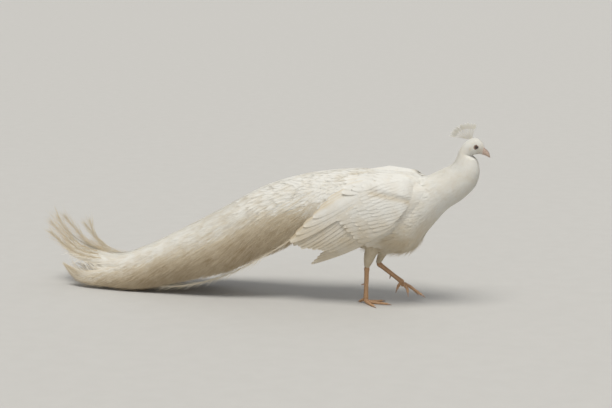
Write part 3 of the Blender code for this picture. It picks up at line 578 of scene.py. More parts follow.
# Flight feathers and coverts: rows from root to tip and their half widths.
FLIGHT_ROWS = np.array([0.0, 0.10, 0.22, 0.35, 0.50, 0.64, 0.77, 0.87, 0.94, 0.98, 1.0])
FLIGHT_WIDTHS = np.array([0.45, 0.80, 0.96, 1.0, 1.0, 0.98, 0.92, 0.82, 0.64, 0.44, 0.20])
COVERT_ROWS = np.array([0.0, 0.15, 0.32, 0.50, 0.68, 0.82, 0.92, 0.98, 1.0])
COVERT_WIDTHS = np.array([0.45, 0.80, 0.97, 1.0, 0.97, 0.85, 0.62, 0.38, 0.18])

# A train feather's soft end: rows from its root to its tip and their half widths.
EYE_ROWS = np.array([0.0, 0.18, 0.36, 0.54, 0.70, 0.83, 0.93, 1.0])
EYE_WIDTHS = np.array([0.22, 0.44, 0.70, 0.92, 1.0, 0.90, 0.64, 0.22])

# Loose filaments: first and last section of the body, length, spacing, how far they stand and hang, width,
# how far round from the back they grow and the height under which they grow.
DOWN = [
    (4.2, 8.4, 0.040, 0.0050, 0.0110, 0.010, 0.0016, 3.2, 0.275),
    (7.0, 10.6, 0.024, 0.0042, 0.0042, 0.0, 0.0007, 3.2, 0.60),
    (10.6, 13.4, 0.015, 0.0030, 0.0034, 0.0, 0.0007, 3.2, 0.60),
    (8.8, 11.0, 0.020, 0.0050, 0.0100, 0.0, 0.0014, 0.9, 0.60),
]

# Loose feathers: points (x, y, z) of each shaft, length of its barbs, how much they hang, how tan they are.
LOOSE = [
    (
        [(-0.160, -0.088, 0.345), (-0.258, -0.106, 0.245), (-0.374, -0.110, 0.167), (-0.504, -0.110, 0.095),
         (-0.640, -0.110, 0.048), (-0.760, -0.108, 0.029), (-0.880, -0.104, 0.029)],
        0.034, 0.10, 0.34,
    ),
    (
        [(-0.980, 0.030, 0.108), (-1.060, 0.040, 0.124), (-1.112, 0.040, 0.165), (-1.134, 0.032, 0.236)],
        0.046, 0.0, 0.34,
    ),
    (
        [(-0.970, 0.040, 0.104), (-1.050, 0.048, 0.118), (-1.100, 0.048, 0.150), (-1.160, 0.036, 0.222)],
        0.046, 0.0, 0.40,
    ),
    (
        [(-0.920, 0.020, 0.118), (-0.990, 0.030, 0.116), (-1.046, 0.030, 0.128), (-1.080, 0.024, 0.152)],
        0.040, 0.0, 0.30,
    ),
    (
        [(-0.940, -0.010, 0.112), (-1.010, -0.004, 0.114), (-1.070, 0.006, 0.130), (-1.118, 0.004, 0.160)],
        0.040, 0.0, 0.36,
    ),
    (
        [(-1.080, -0.020, 0.128), (-1.150, -0.026, 0.150), (-1.205, -0.026, 0.200), (-1.250, -0.018, 0.258)],
        0.052, 0.0, 0.46,
    ),
    (
        [(-1.060, -0.050, 0.122), (-1.140, -0.056, 0.138), (-1.205, -0.052, 0.188), (-1.260, -0.044, 0.234)],
        0.052, 0.0, 0.50,
    ),
    (
        [(-1.060, 0.010, 0.122), (-1.130, 0.014, 0.150), (-1.180, 0.012, 0.196), (-1.226, 0.008, 0.250)],
        0.055, 0.0, 0.44,
    ),
    (
        [(-1.040, -0.070, 0.112), (-1.120, -0.080, 0.122), (-1.190, -0.078, 0.156), (-1.250, -0.070, 0.200)],
        0.055, 0.0, 0.52,
    ),
]


def table(rows, x):
    """The values of a table of (x, ...) rows at an array of x, on a smooth curve through them."""
    rows = np.array(rows, float)
    if rows[0, 0] > rows[-1, 0]:
        rows = rows[::-1]
    keys = rows[:, 0]
    x = np.clip(np.asarray(x, float), keys[0], keys[-1])
    i = np.clip(np.searchsorted(keys, x, side="right") - 1, 0, len(keys) - 2)
    before = np.maximum(i - 1, 0)
    after = np.minimum(i + 2, len(keys) - 1)
    span = (keys[i + 1] - keys[i])[..., None]
    t = (x - keys[i])[..., None] / span
    p, q, r, s = rows[before, 1:], rows[i, 1:], rows[i + 1, 1:], rows[after, 1:]
    into = (r - p) / (keys[i + 1] - keys[before])[..., None] * span
    out = (s - q) / (keys[after] - keys[i])[..., None] * span
    start = q * (1 + 2 * t) * (1 - t) ** 2 + into * t * (1 - t) ** 2
    return start + r * t * t * (3 - 2 * t) + out * t * t * (t - 1)


def columns_of(rows, x):
    """The columns of a table's values at x, as one array each."""
    return np.moveaxis(table(rows, x), -1, 0)


def numbered(rows):
    """Rows with their place in the list put before their values."""
    return [(k, *row) for k, row in enumerate(rows)]


def draws(name):
    """The random numbers that one piece is made with."""
    return np.random.default_rng(SEEDS[name])


def field(down, across):
    """Two arrays that cover a grid, whose sides are each given as (from, to, how many)."""
    return np.meshgrid(np.linspace(*down), np.linspace(*across), indexing="ij")


def unit(v):
    """Vectors scaled to a length of 1."""
    return v / np.maximum(np.linalg.norm(v, axis=-1, keepdims=True), 1e-12)


def blend(x, start, end):
    """A smooth step from 0 at start to 1 at end."""
    t = np.clip((x - start) / (end - start), 0.0, 1.0)
    return t * t * (3 - 2 * t)


def stack(*parts):
    """Arrays put side by side along a new last axis."""
    return np.stack(np.broadcast_arrays(*parts), axis=-1)


def body_point(t, angle, out):
    """Points of the body at t along its sections and at an angle round from the back, moved out."""
    back_x, back_z, front_x, front_z, width = columns_of(numbered(BODY), t)
    up_x, up_z = (back_x - front_x) / 2, (back_z - front_z) / 2
    half = np.hypot(up_x, up_z)
    c, s = np.cos(angle), np.sin(angle)
    rise = np.sign(c) * np.abs(c) ** (2 / BODY_POWER) * (half + out) / half
    reach = np.sign(s) * np.abs(s) ** (2 / BODY_POWER)
    x = (back_x + front_x) / 2 + up_x * rise
    return stack(x, (width + out) * reach, (back_z + front_z) / 2 + up_z * rise)


def side_point(x, z, out, hand):
    """Points on the wings' side surface at x and z, moved out. hand is -1 on the bird's right."""
    centre, half_height, half_width = columns_of(SIDE, x)
    room = SHOULDER_TOP - SHOULDER
    over = np.maximum(z - SHOULDER, 0)
    z = np.where(z > SHOULDER, SHOULDER + room * (1 - np.exp(-1.2 * over / room)), z)
    out = out - (out + 0.012) * blend(over, 0.050, 0.115)
    high = np.clip(np.abs(z - centre) / half_height, 1e-6, 0.985)
    y = half_width * (1 - high**SIDE_POWER) ** (1 / SIDE_POWER)
    slope_z = np.sign(z - centre) * high ** (SIDE_POWER - 1) / half_height
    slope_y = (y / half_width) ** (SIDE_POWER - 1) / half_width
    size = np.hypot(slope_z, slope_y)
    return stack(x, hand * (y + slope_y / size * out), z + slope_z / size * out)


def train_point(x, angle, depth):
    """Points of the train at x, at an angle round its section from the top, and a depth below its outside.

    Towards the end the feathers draw together into loose locks that part from each other.
    """
    end = blend(-x, LOCKS_FROM, LOCKS_FULL)
    parted = blend(-x, LOCKS_FROM, PARTING_FULL)
    off = -angle - PARTING
    angle = angle - PARTING_SPREAD * parted * np.tanh(off / PARTING_SOFT) * (angle < 0)
    angle = angle - LOCK_DRAW / LOCKS * end * np.sin(LOCKS * angle + 0.6)
    depth = depth - LOCK_LIFT * end**2 * np.cos(0.62 * LOCKS * angle + 1.0)
    top, half_width, half_height, _ = columns_of(TRAIN, x)
    fall = 1 - np.cos(angle)
    fall = np.where(angle > 0, fall * (1 - 0.75 * blend(-x, 0.95, 1.12)), fall)
    z = top - half_height + (half_height - depth) * (1 - fall)
    z = z - LOWER_DROP * parted * blend(off, -0.02, 0.06) * (angle < 0)
    return stack(x, (half_width - depth) * np.sin(angle), z)


def on_train(x, angle, depth):
    """Points of the train, and the way out of it at each."""
    here = train_point(x, angle, depth)
    return here, unit(train_point(x, angle, depth - PROBE) - here)


def train_reach(x):
    """How far the train reaches round each side at x, in radians."""
    return np.radians(table(TRAIN, x)[..., 3])


def limb_point(line, t, angle, out):
    """Points round a limb at t along its line of (x, y, z, half thickness fore and aft, sideways)."""
    rows = numbered(line)
    here = table(rows, t)
    ahead = table(rows, np.asarray(t, float) + 0.05)[..., :3]
    behind = table(rows, np.asarray(t, float) - 0.05)[..., :3]
    along = unit(ahead - behind)
    across = unit(np.cross(along, np.array((1.0, 0.0, 0.0))))
    up = unit(np.cross(across, along))
    fore = (here[..., 3] + out) * np.cos(angle)
    side = (here[..., 4] + out) * np.sin(angle)
    return here[..., :3] + up * fore[..., None] + across * side[..., None]


def vane(path, cross, out, width, u, cup=0.0):
    """Sheets of points across paths, at u from -1 to 1, whose edges curl down by a share of their width."""
    grid = path[:, :, None] + cross[:, :, None] * (width[..., None] * u)[..., None]
    return grid - out[:, :, None] * (cup * width[..., None] * u**2)[..., None]


def across_path(path, out):
    """Unit vectors across paths, whose way up is out."""
    return unit(np.cross(unit(np.gradient(path, axis=1)), out))


def frame_of(path, up):
    """Unit vectors along paths, across them and out of them, where up is about the way out."""
    along = unit(np.gradient(path, axis=1))
    cross = unit(np.cross(along, np.array(up)))
    return along, cross, unit(np.cross(cross, along))


class Piece:
    """One mesh made of many sheets of quads, each a patch on the unwrap of what it grows from."""

    def __init__(self, name, slot, material):
        self.name = name
        self.slot = slot
        self.material = material
        self.points = []
        self.quads = []
        self.bake = []
        self.barb = []
        self.tint = []
        self.count = 0

    def add(self, grids, places, tints, patch=PATCH):
        """Adds grids (sheets, rows, columns, 3) at places (u, v), with tints from 0 (white) to 1 (tan)."""
        number, rows, columns, _ = grids.shape
        along, across = field((0, 1, rows), (0, 1, columns))
        spot = np.stack([across, along], -1)
        self.bake.append((places[:, None, None, :] + (spot - 0.5) * patch).reshape(-1, 2))
        self.barb.append(np.broadcast_to(spot, (number, rows, columns, 2)).reshape(-1, 2))
        self.tint.append(np.broadcast_to(tints, (number, rows, columns)).reshape(-1))
        index = np.arange(rows * columns).reshape(rows, columns)
        quad = np.stack([index[:-1, :-1], index[:-1, 1:], index[1:, 1:], index[1:, :-1]], -1).reshape(-1, 4)
        starts = self.count + np.arange(number) * rows * columns
        self.quads.append((starts[:, None, None] + quad).reshape(-1, 4))
        self.points.append(grids.reshape(-1, 3))
        self.count += number * rows * columns

    def build(self):
        """Makes the mesh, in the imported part's frame, and returns its object."""
        points = np.concatenate(self.points) + np.array(SHIFT)
        points[:, 2] = np.maximum(points[:, 2], LOWEST)
        quads = np.concatenate(self.quads)
        bake, barb = np.concatenate(self.bake), np.concatenate(self.barb)
        mesh = bpy.data.meshes.new(self.name)
        mesh.vertices.add(len(points))
        mesh.vertices.foreach_set("co", points.astype(np.float32).ravel())
        mesh.loops.add(quads.size)
        mesh.loops.foreach_set("vertex_index", quads.astype(np.int32).ravel())
        mesh.polygons.add(len(quads))
        mesh.polygons.foreach_set("loop_start", np.arange(0, quads.size, 4, dtype=np.int32))
        mesh.polygons.foreach_set("use_smooth", np.ones(len(quads), bool))
        mesh.update(calc_edges=True)
        for name, uv in (("OFBake", bake), ("barbs", barb)):
            layer = mesh.uv_layers.new(name=name)
            layer.data.foreach_set("uv", uv[quads.ravel()].astype(np.float32).ravel())
        tint = mesh.attributes.new("tint", "FLOAT", "POINT")
        tint.data.foreach_set("value", np.concatenate(self.tint).astype(np.float32))
        mesh.materials.append(self.material)
        obj = bpy.data.objects.new(self.name, mesh)
        bpy.context.scene.collection.objects.link(obj)
        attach(obj, "root")
        return obj


def neighbours(cells, key):
    """The points kept in a cell and in those round it."""
    x, y, z = key
    around = [(x + dx, y + dy, z + dz) for dx in (-1, 0, 1) for dy in (-1, 0, 1) for dz in (-1, 0, 1)]
    return [point for cell in around for point in cells.get(cell, ())]


def scatter(surface, t_range, sizes, chance, keep):
    """Roots (t, angle) spread evenly over a surface, closer together where its feathers are small."""
    rows, columns = SCATTER_GRID
    t = np.linspace(*t_range, rows)
    a = np.linspace(-math.pi, math.pi, columns + 1)[:-1]
    step_t, step_a = t[1] - t[0], a[1] - a[0]
    grid_t, grid_a = np.meshgrid(t, a, indexing="ij")
    here = surface(grid_t, grid_a, 0.0)
    along = surface(grid_t + step_t, grid_a, 0.0) - here
    around = surface(grid_t, grid_a + step_a, 0.0) - here
    area = np.linalg.norm(np.cross(along, around), axis=-1)
    gap = table(sizes, grid_t)[..., 2]
    wanted = ROOTS_TRIED * area / gap**2
    pick = np.nonzero(chance.random(area.shape) < wanted)
    t_pick = grid_t[pick] + chance.uniform(-0.5, 0.5, len(pick[0])) * step_t
    a_pick = grid_a[pick] + chance.uniform(-0.5, 0.5, len(pick[0])) * step_a
    points = surface(t_pick, a_pick, 0.0)
    gaps = gap[pick] * LEAST_GAP
    allowed = keep(t_pick, a_pick, points)
    cells, chosen = {}, []
    for k in chance.permutation(len(t_pick)):
        if not allowed[k]:
            continue
        p, g = points[k], gaps[k]
        key = (int(p[0] // CELL), int(p[1] // CELL), int(p[2] // CELL))
        near = neighbours(cells, key)
        if any((p[0] - q[0]) ** 2 + (p[1] - q[1]) ** 2 + (p[2] - q[2]) ** 2 < g * g for q in near):
            continue
        cells.setdefault(key, []).append(p)
        chosen.append(k)
    return t_pick[chosen], a_pick[chosen]


def rates(surface, t, a):
    """Points of a surface, and how far it runs there for each unit of t and of the angle."""
    here = surface(t, a, 0.0)
    rate_t = np.linalg.norm((surface(t + STEP, a, 0.0) - here) / STEP, axis=-1)
    rate_a = np.linalg.norm((surface(t, a + STEP, 0.0) - here) / STEP, axis=-1)
    return here, rate_t, rate_a


def small_feathers(piece, surface, t, a, sizes, depths, chance, place, tint, stand, sense=-1.0, columns=3):
    """Feathers that rise from the skin and lie along the surface, over the ones behind them."""
    length, half, _ = columns_of(sizes, t)
    depth = table(depths, t)[..., 0]
    length = length * chance.uniform(0.85, 1.15, len(t))
    half = half * chance.uniform(0.88, 1.12, len(t))
    skew = chance.normal(0, 0.08, len(t))
    _, rate_t, rate_a = rates(surface, t, a)
    step_t = (sense * length / rate_t)[:, None]
    step_a = (skew * length / rate_a)[:, None]
    s = SMALL_ROWS[None, :]
    lift = stand * (1 + chance.uniform(-0.5, 0.5, len(t)))[:, None]
    rise = -depth[:, None] * (1 - s) ** 2.2 + lift * s
    rows_t = t[:, None] + step_t * s
    rows_a = a[:, None] + step_a * s
    path = surface(rows_t, rows_a, rise)
    ahead = surface(rows_t + step_t * 0.04, rows_a + step_a * 0.04, rise)
    direction = unit(ahead - path)
    out = unit(surface(rows_t, rows_a, rise + PROBE) - path)
    cross = unit(np.cross(direction, out))
    u = np.linspace(-1, 1, columns)
    grid = vane(path, cross, out, half[:, None] * SMALL_WIDTHS[None, :], u, 0.20)
    ragged = chance.uniform(-0.10, 0.06, (len(t), 1, columns)) * np.array([0.6, 1.0])[None, :, None]
    grid[:, -2:] += direction[:, -2:, None, :] * (ragged * length[:, None, None])[..., None]
    # Tan towards the roots: painted shade where the feathers above cover them.
    shade = np.clip(0.26 - s, 0, 1)[..., None] + tint[:, None, None]
    piece.add(grid, place(t, a), np.clip(shade, 0, 1))


def body_place(t, a):
    """Where a root on the body lies on the unwrap."""
    return np.stack([0.02 + 0.96 * t / BODY_END, 0.5 + 0.48 * a / math.pi], -1)


def limb_place(t, a):
    """Where a root on a thigh lies on the unwrap."""
    return np.stack([0.05 + 0.9 * t / 5, 0.5 + 0.45 * a / math.pi], -1)


def wing_place(root, span):
    """Where roots at (x, z) on the bird's side lie on the unwrap, which is span long."""
    spot = np.stack([(root[:, 0] + 0.30) / span, (root[:, 1] - 0.12) / 0.40], -1)
    return np.clip(spot, 0.02, 0.98)


def low_stain_and_shade(points):
    """How tan the coat is at a place: more on the belly and under the chin than above, partly stain and
    partly painted shade.
    """
    return 0.34 * blend(0.43 - points[..., 2], 0.0, 0.20)


def not_bare(t, a, points):
    """Whether roots lie off the bare face and off the sides that the wings hide."""
    x, _, z = EYE_CENTRE
    eye = np.hypot(points[:, 0] - x, points[:, 2] - z)
    far = np.abs(points[:, 1]) > 0.006
    face = ((eye < 0.0092) & far) | (t > 19.85)
    hidden = (t < 5.9) & (np.abs(np.abs(a) - 1.35) < 0.62) & (t > 1.4)
    return ~(face | hidden)


def body_coat(feather):
    """Feathers of the body, neck and head."""
    chance = draws("coat")
    t, a = scatter(body_point, (0.9, BODY_END), BODY_COAT, chance, not_bare)
    spot = body_point(t, a, 0.0)
    ear = np.exp(-(np.hypot(spot[:, 0] - EAR[0], spot[:, 2] - EAR[1]) / EAR_SIZE) ** 2) * (t > HEAD_START)
    # Tan low on the body, partly stain and partly painted shade, a little at random, and the cream ear patch.
    tint = low_stain_and_shade(spot) + chance.uniform(0, 0.06, len(t)) + 0.24 * ear
    for name, low, high, stand in COAT_GROUPS:
        piece = Piece(name, "feather", feather)
        own = (t >= low) & (t < high)
        small_feathers(
            piece, body_point, t[own], a[own], BODY_COAT, COAT_DEPTH, chance, body_place, tint[own], stand
        )
        piece.build()


def body_down(feather):
    """Fine filaments over the breast, the belly's fringe and the ruffled base of the nape."""
    chance = draws("down")
    piece = Piece("coat_down", "feather", feather)
    v = np.linspace(0, 1, 4)[None, :]
    for low, high, length, gap, stand, hang, wide, around, top in DOWN:

        def grows(t, a, points):
            return (points[:, 2] < top) & (np.abs(a) < around)

        sizes = [(0, 0, 0, gap), (BODY_END, 0, 0, gap)]
        t, a = scatter(body_point, (low, high), sizes, chance, grows)
        size = length * chance.uniform(0.7, 1.3, len(t))
        here, rate_t, rate_a = rates(body_point, t, a)
        lean = chance.normal(0, 0.16, len(t))
        rows_t = t[:, None] - (size / rate_t)[:, None] * v
        rows_a = a[:, None] + (size * lean / rate_a)[:, None] * v**1.5
        rise = -0.0015 + stand * chance.uniform(0.3, 1.3, (len(t), 1)) * v**1.6
        path = body_point(rows_t, rows_a, rise)
        out = unit(body_point(rows_t, rows_a, rise + PROBE) - path)
        path[..., 2] -= hang * chance.uniform(0.3, 1.2, (len(t), 1)) * v**1.5
        # Tan low on the body, partly stain and partly painted shade, and a little at random.
        tint = low_stain_and_shade(here) + chance.uniform(-0.05, 0.10, len(t))
        width = wide * chance.uniform(0.7, 1.4, len(t))
        ribbons(piece, path, out, width, body_place(t, a), tint[:, None, None])
    piece.build()


def thigh_coat(feather, side, line):
    """Feathers of one thigh, which point down to the hock."""
    chance = draws("thigh")

    def surface(t, a, out):
        return limb_point(line, t, a, out)

    def everywhere(t, a, points):
        return t > 0

    t, a = scatter(surface, (0.3, 4.95), THIGH_COAT, chance, everywhere)
    piece = Piece("coat_thigh_" + side, "feather", feather)
    # The thighs are tan all over, partly stain and partly painted shade under the body.
    tint = 0.42 + chance.uniform(0, 0.10, len(t))
    small_feathers(piece, surface, t, a, THIGH_COAT, THIGH_DEPTHS, chance, limb_place, tint, 0.001, sense=1.0)
    piece.build()


def wing_coat(feather, side, hand):
    """A folded wing's rows of feathers, with the scapulars over its top and the flank over its front."""
    chance = draws("wing_" + side)
    piece = Piece("wing_feathers_" + side, "feather", feather)
    side_rows(piece, WING_ROWS, hand, chance)
    side_rows(piece, SCAPULARS, hand, chance)
    flank(piece, hand, chance, SHOULDER_EDGE, (SHOULDER_WAY, FLANK_WAY), 26, (180, 14), (0.10, 0.35))
    flank(piece, hand, chance, WING_EDGE, (FLANK_WAY, FLANK_WAY), 38, (194, 12), (0.33, 0.60))
    return piece.build()


def flank(piece, hand, chance, edge, ways, count, aims, stand):
    """Rows of soft feathers from the breast, the last of them over the wing's edge.

    edge has two ends. ways are the directions forwards from them, aims the first angle in degrees that the
    feathers point to and how far it turns, and stand how much of the full height they stand at each end.
    """
    upper, lower = np.array(edge)
    u = np.linspace(-1, 1, 7)
    s = SMALL_ROWS[None, :]
    for row in range(FLANK_ROWS):
        lead = FLANK_LEAD - FLANK_STEP * row
        share = (np.arange(count) + 0.5 * (row % 2) + chance.normal(0, 0.25, count))[:, None] / count
        ahead = unit(np.array(ways[0]) * (1 - share) + np.array(ways[1]) * share)
        rim = upper * (1 - share) + lower * share
        root = rim + ahead * (lead + chance.normal(0, 0.004, (count, 1)))
        length = (FLANK_LENGTH + 0.012 * share[:, 0]) * chance.uniform(0.8, 1.2, count)
        aim = np.radians(aims[0] + aims[1] * share[:, 0] + chance.normal(0, 5, count))
        along = np.stack([np.cos(aim), np.sin(aim)], -1) * length[:, None]
        across = unit(np.stack([along[:, 1], -along[:, 0]], -1))
        middle = root[:, None] + along[:, None] * s[..., None]
        behind = ((middle - rim[:, None]) * ahead[:, None]).sum(-1)
        over = (FLANK_HEIGHT + 0.003 * share) * blend(-behind, -0.048, 0.004)
        over = over * (stand[0] + (stand[1] - stand[0]) * blend(share, 0.0, 0.25))
        neck = blend(middle[..., 0], 0.175, 0.23) * blend(middle[..., 1], 0.435, 0.48)
        level = -FLANK_SUNK + over - 0.006 * (1 - s) ** 2 - NECK_SUNK * neck
        level = level + chance.uniform(0, 0.0008, (count, 1)) * s
        wide = (FLANK_HALF_WIDTH + 0.002 * share) * SMALL_WIDTHS[None, :]
        place = middle[:, :, None] + across[:, None, None] * (wide[..., None] * u)[..., None]
        lift = level[..., None] - 0.12 * wide[..., None] * u**2
        grid = side_point(place[..., 0], place[..., 1], lift, hand)
        # Painted shade towards the roots, where the feathers above cover them; over the wing's edge, more tan
        # towards its lower end, partly stain and partly painted shade.
        low = 0.03 + 0.20 * share * (stand[1] > 0.5)
        shade = 0.4 * np.clip(0.3 - s, 0, 1)[..., None] + low[..., None]
        piece.add(grid, wing_place(root, 0.60), shade)


def side_rows(piece, rows_of_feathers, hand, chance):
    """Rows of flight feathers and coverts over the bird's side."""
    columns = 9
    u = np.linspace(-1, 1, columns)
    for count, root_a, root_b, tip_a, tip_b, height, half, covert in rows_of_feathers:
        s = (COVERT_ROWS if covert else FLIGHT_ROWS)[None, :]
        widths = COVERT_WIDTHS if covert else FLIGHT_WIDTHS
        share = np.linspace(0, 1, count)[:, None]
        root = np.array(root_a) * (1 - share) + np.array(root_b) * share
        tip = np.array(tip_a) * (1 - share) + np.array(tip_b) * share
        tip = tip + (tip - root) * chance.uniform(-LENGTH_VARIES, LENGTH_VARIES, (count, 1))
        tip[:, 1] += chance.normal(0, 0.0012, count)
        along = tip - root
        across = unit(np.stack([along[:, 1], -along[:, 0]], -1))
        across *= np.where(across[:, 1:] > 0, -1, 1)
        bow = COVERT_BOW if covert else FLIGHT_BOW
        middle = root[:, None] + along[:, None] * s[..., None]
        middle = middle + across[:, None] * (bow * s * (1 - s))[..., None]
        drop = row_drop(middle, share, height, covert)
        level = height - drop + chance.uniform(-LEVEL_VARIES, LEVEL_VARIES, (count, 1))
        level = level - 0.0011 * blend(s, 0.45, 1.0) * covert * (height > 0.0140)
        level = np.where(s < 0.01, np.minimum(level, ROOT_HEIGHT), level)
        taper = 1 - 0.45 * blend(s, 0.5, 0.95) * (height < 0.003)
        wide = half * widths[None, :] * taper * chance.uniform(0.94, 1.06, (count, 1))
        place = middle[:, :, None] + across[:, None, None] * (wide[..., None] * u)[..., None]
        arch = (0.05 if covert else 0.10) * wide[..., None] * (1 - u**2)
        arch = arch - 0.03 * wide[..., None] * (np.abs(u) < 0.05)
        lift = level[..., None] + (0.0008 if covert else 0.0036) * u + arch
        ragged = chance.uniform(-0.016, 0.010, (count, 1, columns)) * RAGGED_TIP[None, :, None]
        place[:, -4:] += (along[:, None, None] * ragged[..., None]) * (1.4 if covert else 0.6)
        above, hump = over_hump(place, covert)
        lift = lift + HUMP_HEIGHT * hump * blend(above, -0.004, 0.010)
        grid = side_point(place[..., 0], place[..., 1], lift, hand)
        piece.add(grid, wing_place(root, 0.52), row_shade(place, s, u, above, hump, covert))


def row_drop(middle, share, height, covert):
    """How far a row of feathers sinks towards the body along their middles (x, z)."""
    drop = 0.0
    for deep, reach, heights, only_coverts in ROW_DROPS:
        sunk = deep * blend(middle[..., 0], *reach) * blend(middle[..., 1], *heights)
        drop = drop + sunk * (covert or not only_coverts)
    behind = blend(-middle[..., 0], -0.02, 0.08)
    return drop + 0.013 * blend(share, 0.65, 1.0) * behind * (height > 0.009)


def over_hump(place, covert):
    """How far places (x, z) lie above the hump's lower edge, and how much they are part of the hump."""
    above = place[..., 1] - (HUMP_LINE[1] - HUMP_SLOPE * (place[..., 0] - HUMP_LINE[0]))
    hump = blend(place[..., 0], 0.02, 0.06) * (1 - blend(place[..., 0], 0.170, 0.205)) * covert
    return above, hump


def row_shade(place, s, u, above, hump, covert):
    """How tan wing feathers are. Painted shade towards their roots and along the edges that tuck under their
    neighbours; partly stain and partly painted shade on the flight feathers' tucked edges towards their tips
    and low on the bird; and a painted shadow just under the hump's lower edge.
    """
    # Painted shade along the edge that tucks under the next feather.
    edge = 0.22 * np.clip(-u, 0, 1) ** 2
    if not covert:
        # Flight feathers: more tan along that edge towards the tip, partly stain and partly painted shade.
        edge = edge + 0.25 * blend(-u, -0.1, 0.9) * blend(s, 0.3, 0.9)[..., None]
    # Tan low on the bird, partly stain and partly painted shade.
    low = blend(0.40 - place[..., 1], 0.0, 0.18) * 0.33
    # Painted shade towards the roots, less within the hump.
    shade = 0.6 * np.clip(0.3 - s[..., None], 0, 1) * (1 - 0.6 * hump) + edge + low
    # A painted shadow in a band just under the hump's lower edge.
    return np.clip(shade + 0.32 * hump * np.exp(-(((above + 0.008) / 0.008) ** 2)), 0, 1)


def in_parting(x, angle):
    """Whether points of the train lie where its two groups part."""
    return (x < PARTING_FROM) & (np.abs(angle + PARTING) < PARTING_WIDTH)


def train_rank(x):
    """The rank of the train feathers whose roots, and those whose tips, are at x."""
    ranks = np.array(TRAIN_RANKS)
    roots = np.interp(-x, -ranks[:, 1], ranks[:, 0])
    tips = np.interp(-x, -ranks[:, 2], ranks[:, 0])
    return roots, tips


def train_depth(rank, x):
    """How far a feather lies below the train's outside, which it reaches behind the tips of those above."""
    roots, tips = train_rank(x)
    return TRAIN_THICK * np.clip(np.minimum(rank, roots) - tips, 0, 1)


def train_place(x, turn, span):
    """Where feathers with their roots at x and a share of the way round lie on the unwrap."""
    return np.stack([np.clip(0.04 + span[0] * (0.05 - x) / span[1], 0, 1), 0.5 + 0.46 * turn], -1)


def ribbons(piece, path, out, width, places, tint):
    """Many thin blades that taper to a point. path is (blades, steps, 3) and out their way up."""
    steps = path.shape[1]
    blade = across_path(path, out)
    taper = 1 - 0.92 * np.linspace(0, 1, steps) ** 2
    half = (width[:, None] / 2 * taper)[..., None]
    grid = np.stack([path - blade * half, path + blade * half], axis=2)
    piece.add(grid, np.clip(places, 0.01, 0.99), np.clip(tint, 0, 1))


def train_barbs(piece, chance, rank, x, angle, depth, length, spread, tint, places):
    """Barbs that leave points of the train and run along its surface, to the side that their spread says."""
    v = np.linspace(0, 1, BARB_STEPS)[None, :]
    side = blend(np.abs(angle), 0.9, 1.7)[:, None]
    tip = TRAIN_TIP + (LOWER_TIP - TRAIN_TIP) * (np.abs(angle) > PARTING)
    room = (x - tip) / BARB_AHEAD * chance.uniform(0.75, 1.05, len(x))
    length = np.minimum(length, np.maximum(room, LEAST_BARB))
    xs = x[:, None] - BARB_AHEAD * length[:, None] * v
    away = spread[:, None] * length[:, None] * np.sin(v * math.pi / 2) / table(TRAIN, xs)[..., 1]
    turn = angle[:, None] + away + np.sign(angle)[:, None] * 0.30 * side * v**2
    limit = train_reach(xs) + 0.10 * side * v
    turn = np.clip(turn, -limit, limit)
    level = train_depth(rank, xs) + depth[:, None] - chance.uniform(-0.0010, 0.0024, (len(x), 1)) * v
    path, out = on_train(xs, turn, level)
    path[..., 2] -= 0.16 * length[:, None] * side * v**2
    ribbons(piece, path, out, chance.uniform(*BARB_WIDTHS, len(x)), places, tint[:, None, None])


def sampler(place, rows):
    """A function that reads values, known at each row of shafts, at places from 0 to 1 along them."""
    spot = np.clip(place, 0, 1) * (rows - 1)
    i = np.clip(spot.astype(int), 0, rows - 2)
    f = spot - i
    pick = np.arange(len(place))[:, None]

    def at(values):
        share = f[..., None] if values.ndim == 3 else f
        return values[pick, i] * (1 - share) + values[pick, i + 1] * share

    return at


def barb_roots(chance, number, per, low, high):
    """Where the barbs leave each of a number of shafts, from 0 at its root to 1 at its tip."""
    return np.linspace(low, high, per)[None, :] + chance.uniform(-0.5, 0.5, (number, per)) * (0.9 / per)


def barb_places(uv, place):
    """Where the barbs of shafts at uv lie on the unwrap."""
    along = np.stack([place.ravel() * 0.02, np.zeros(place.size)], -1)
    return np.repeat(uv, place.shape[1], axis=0) + along


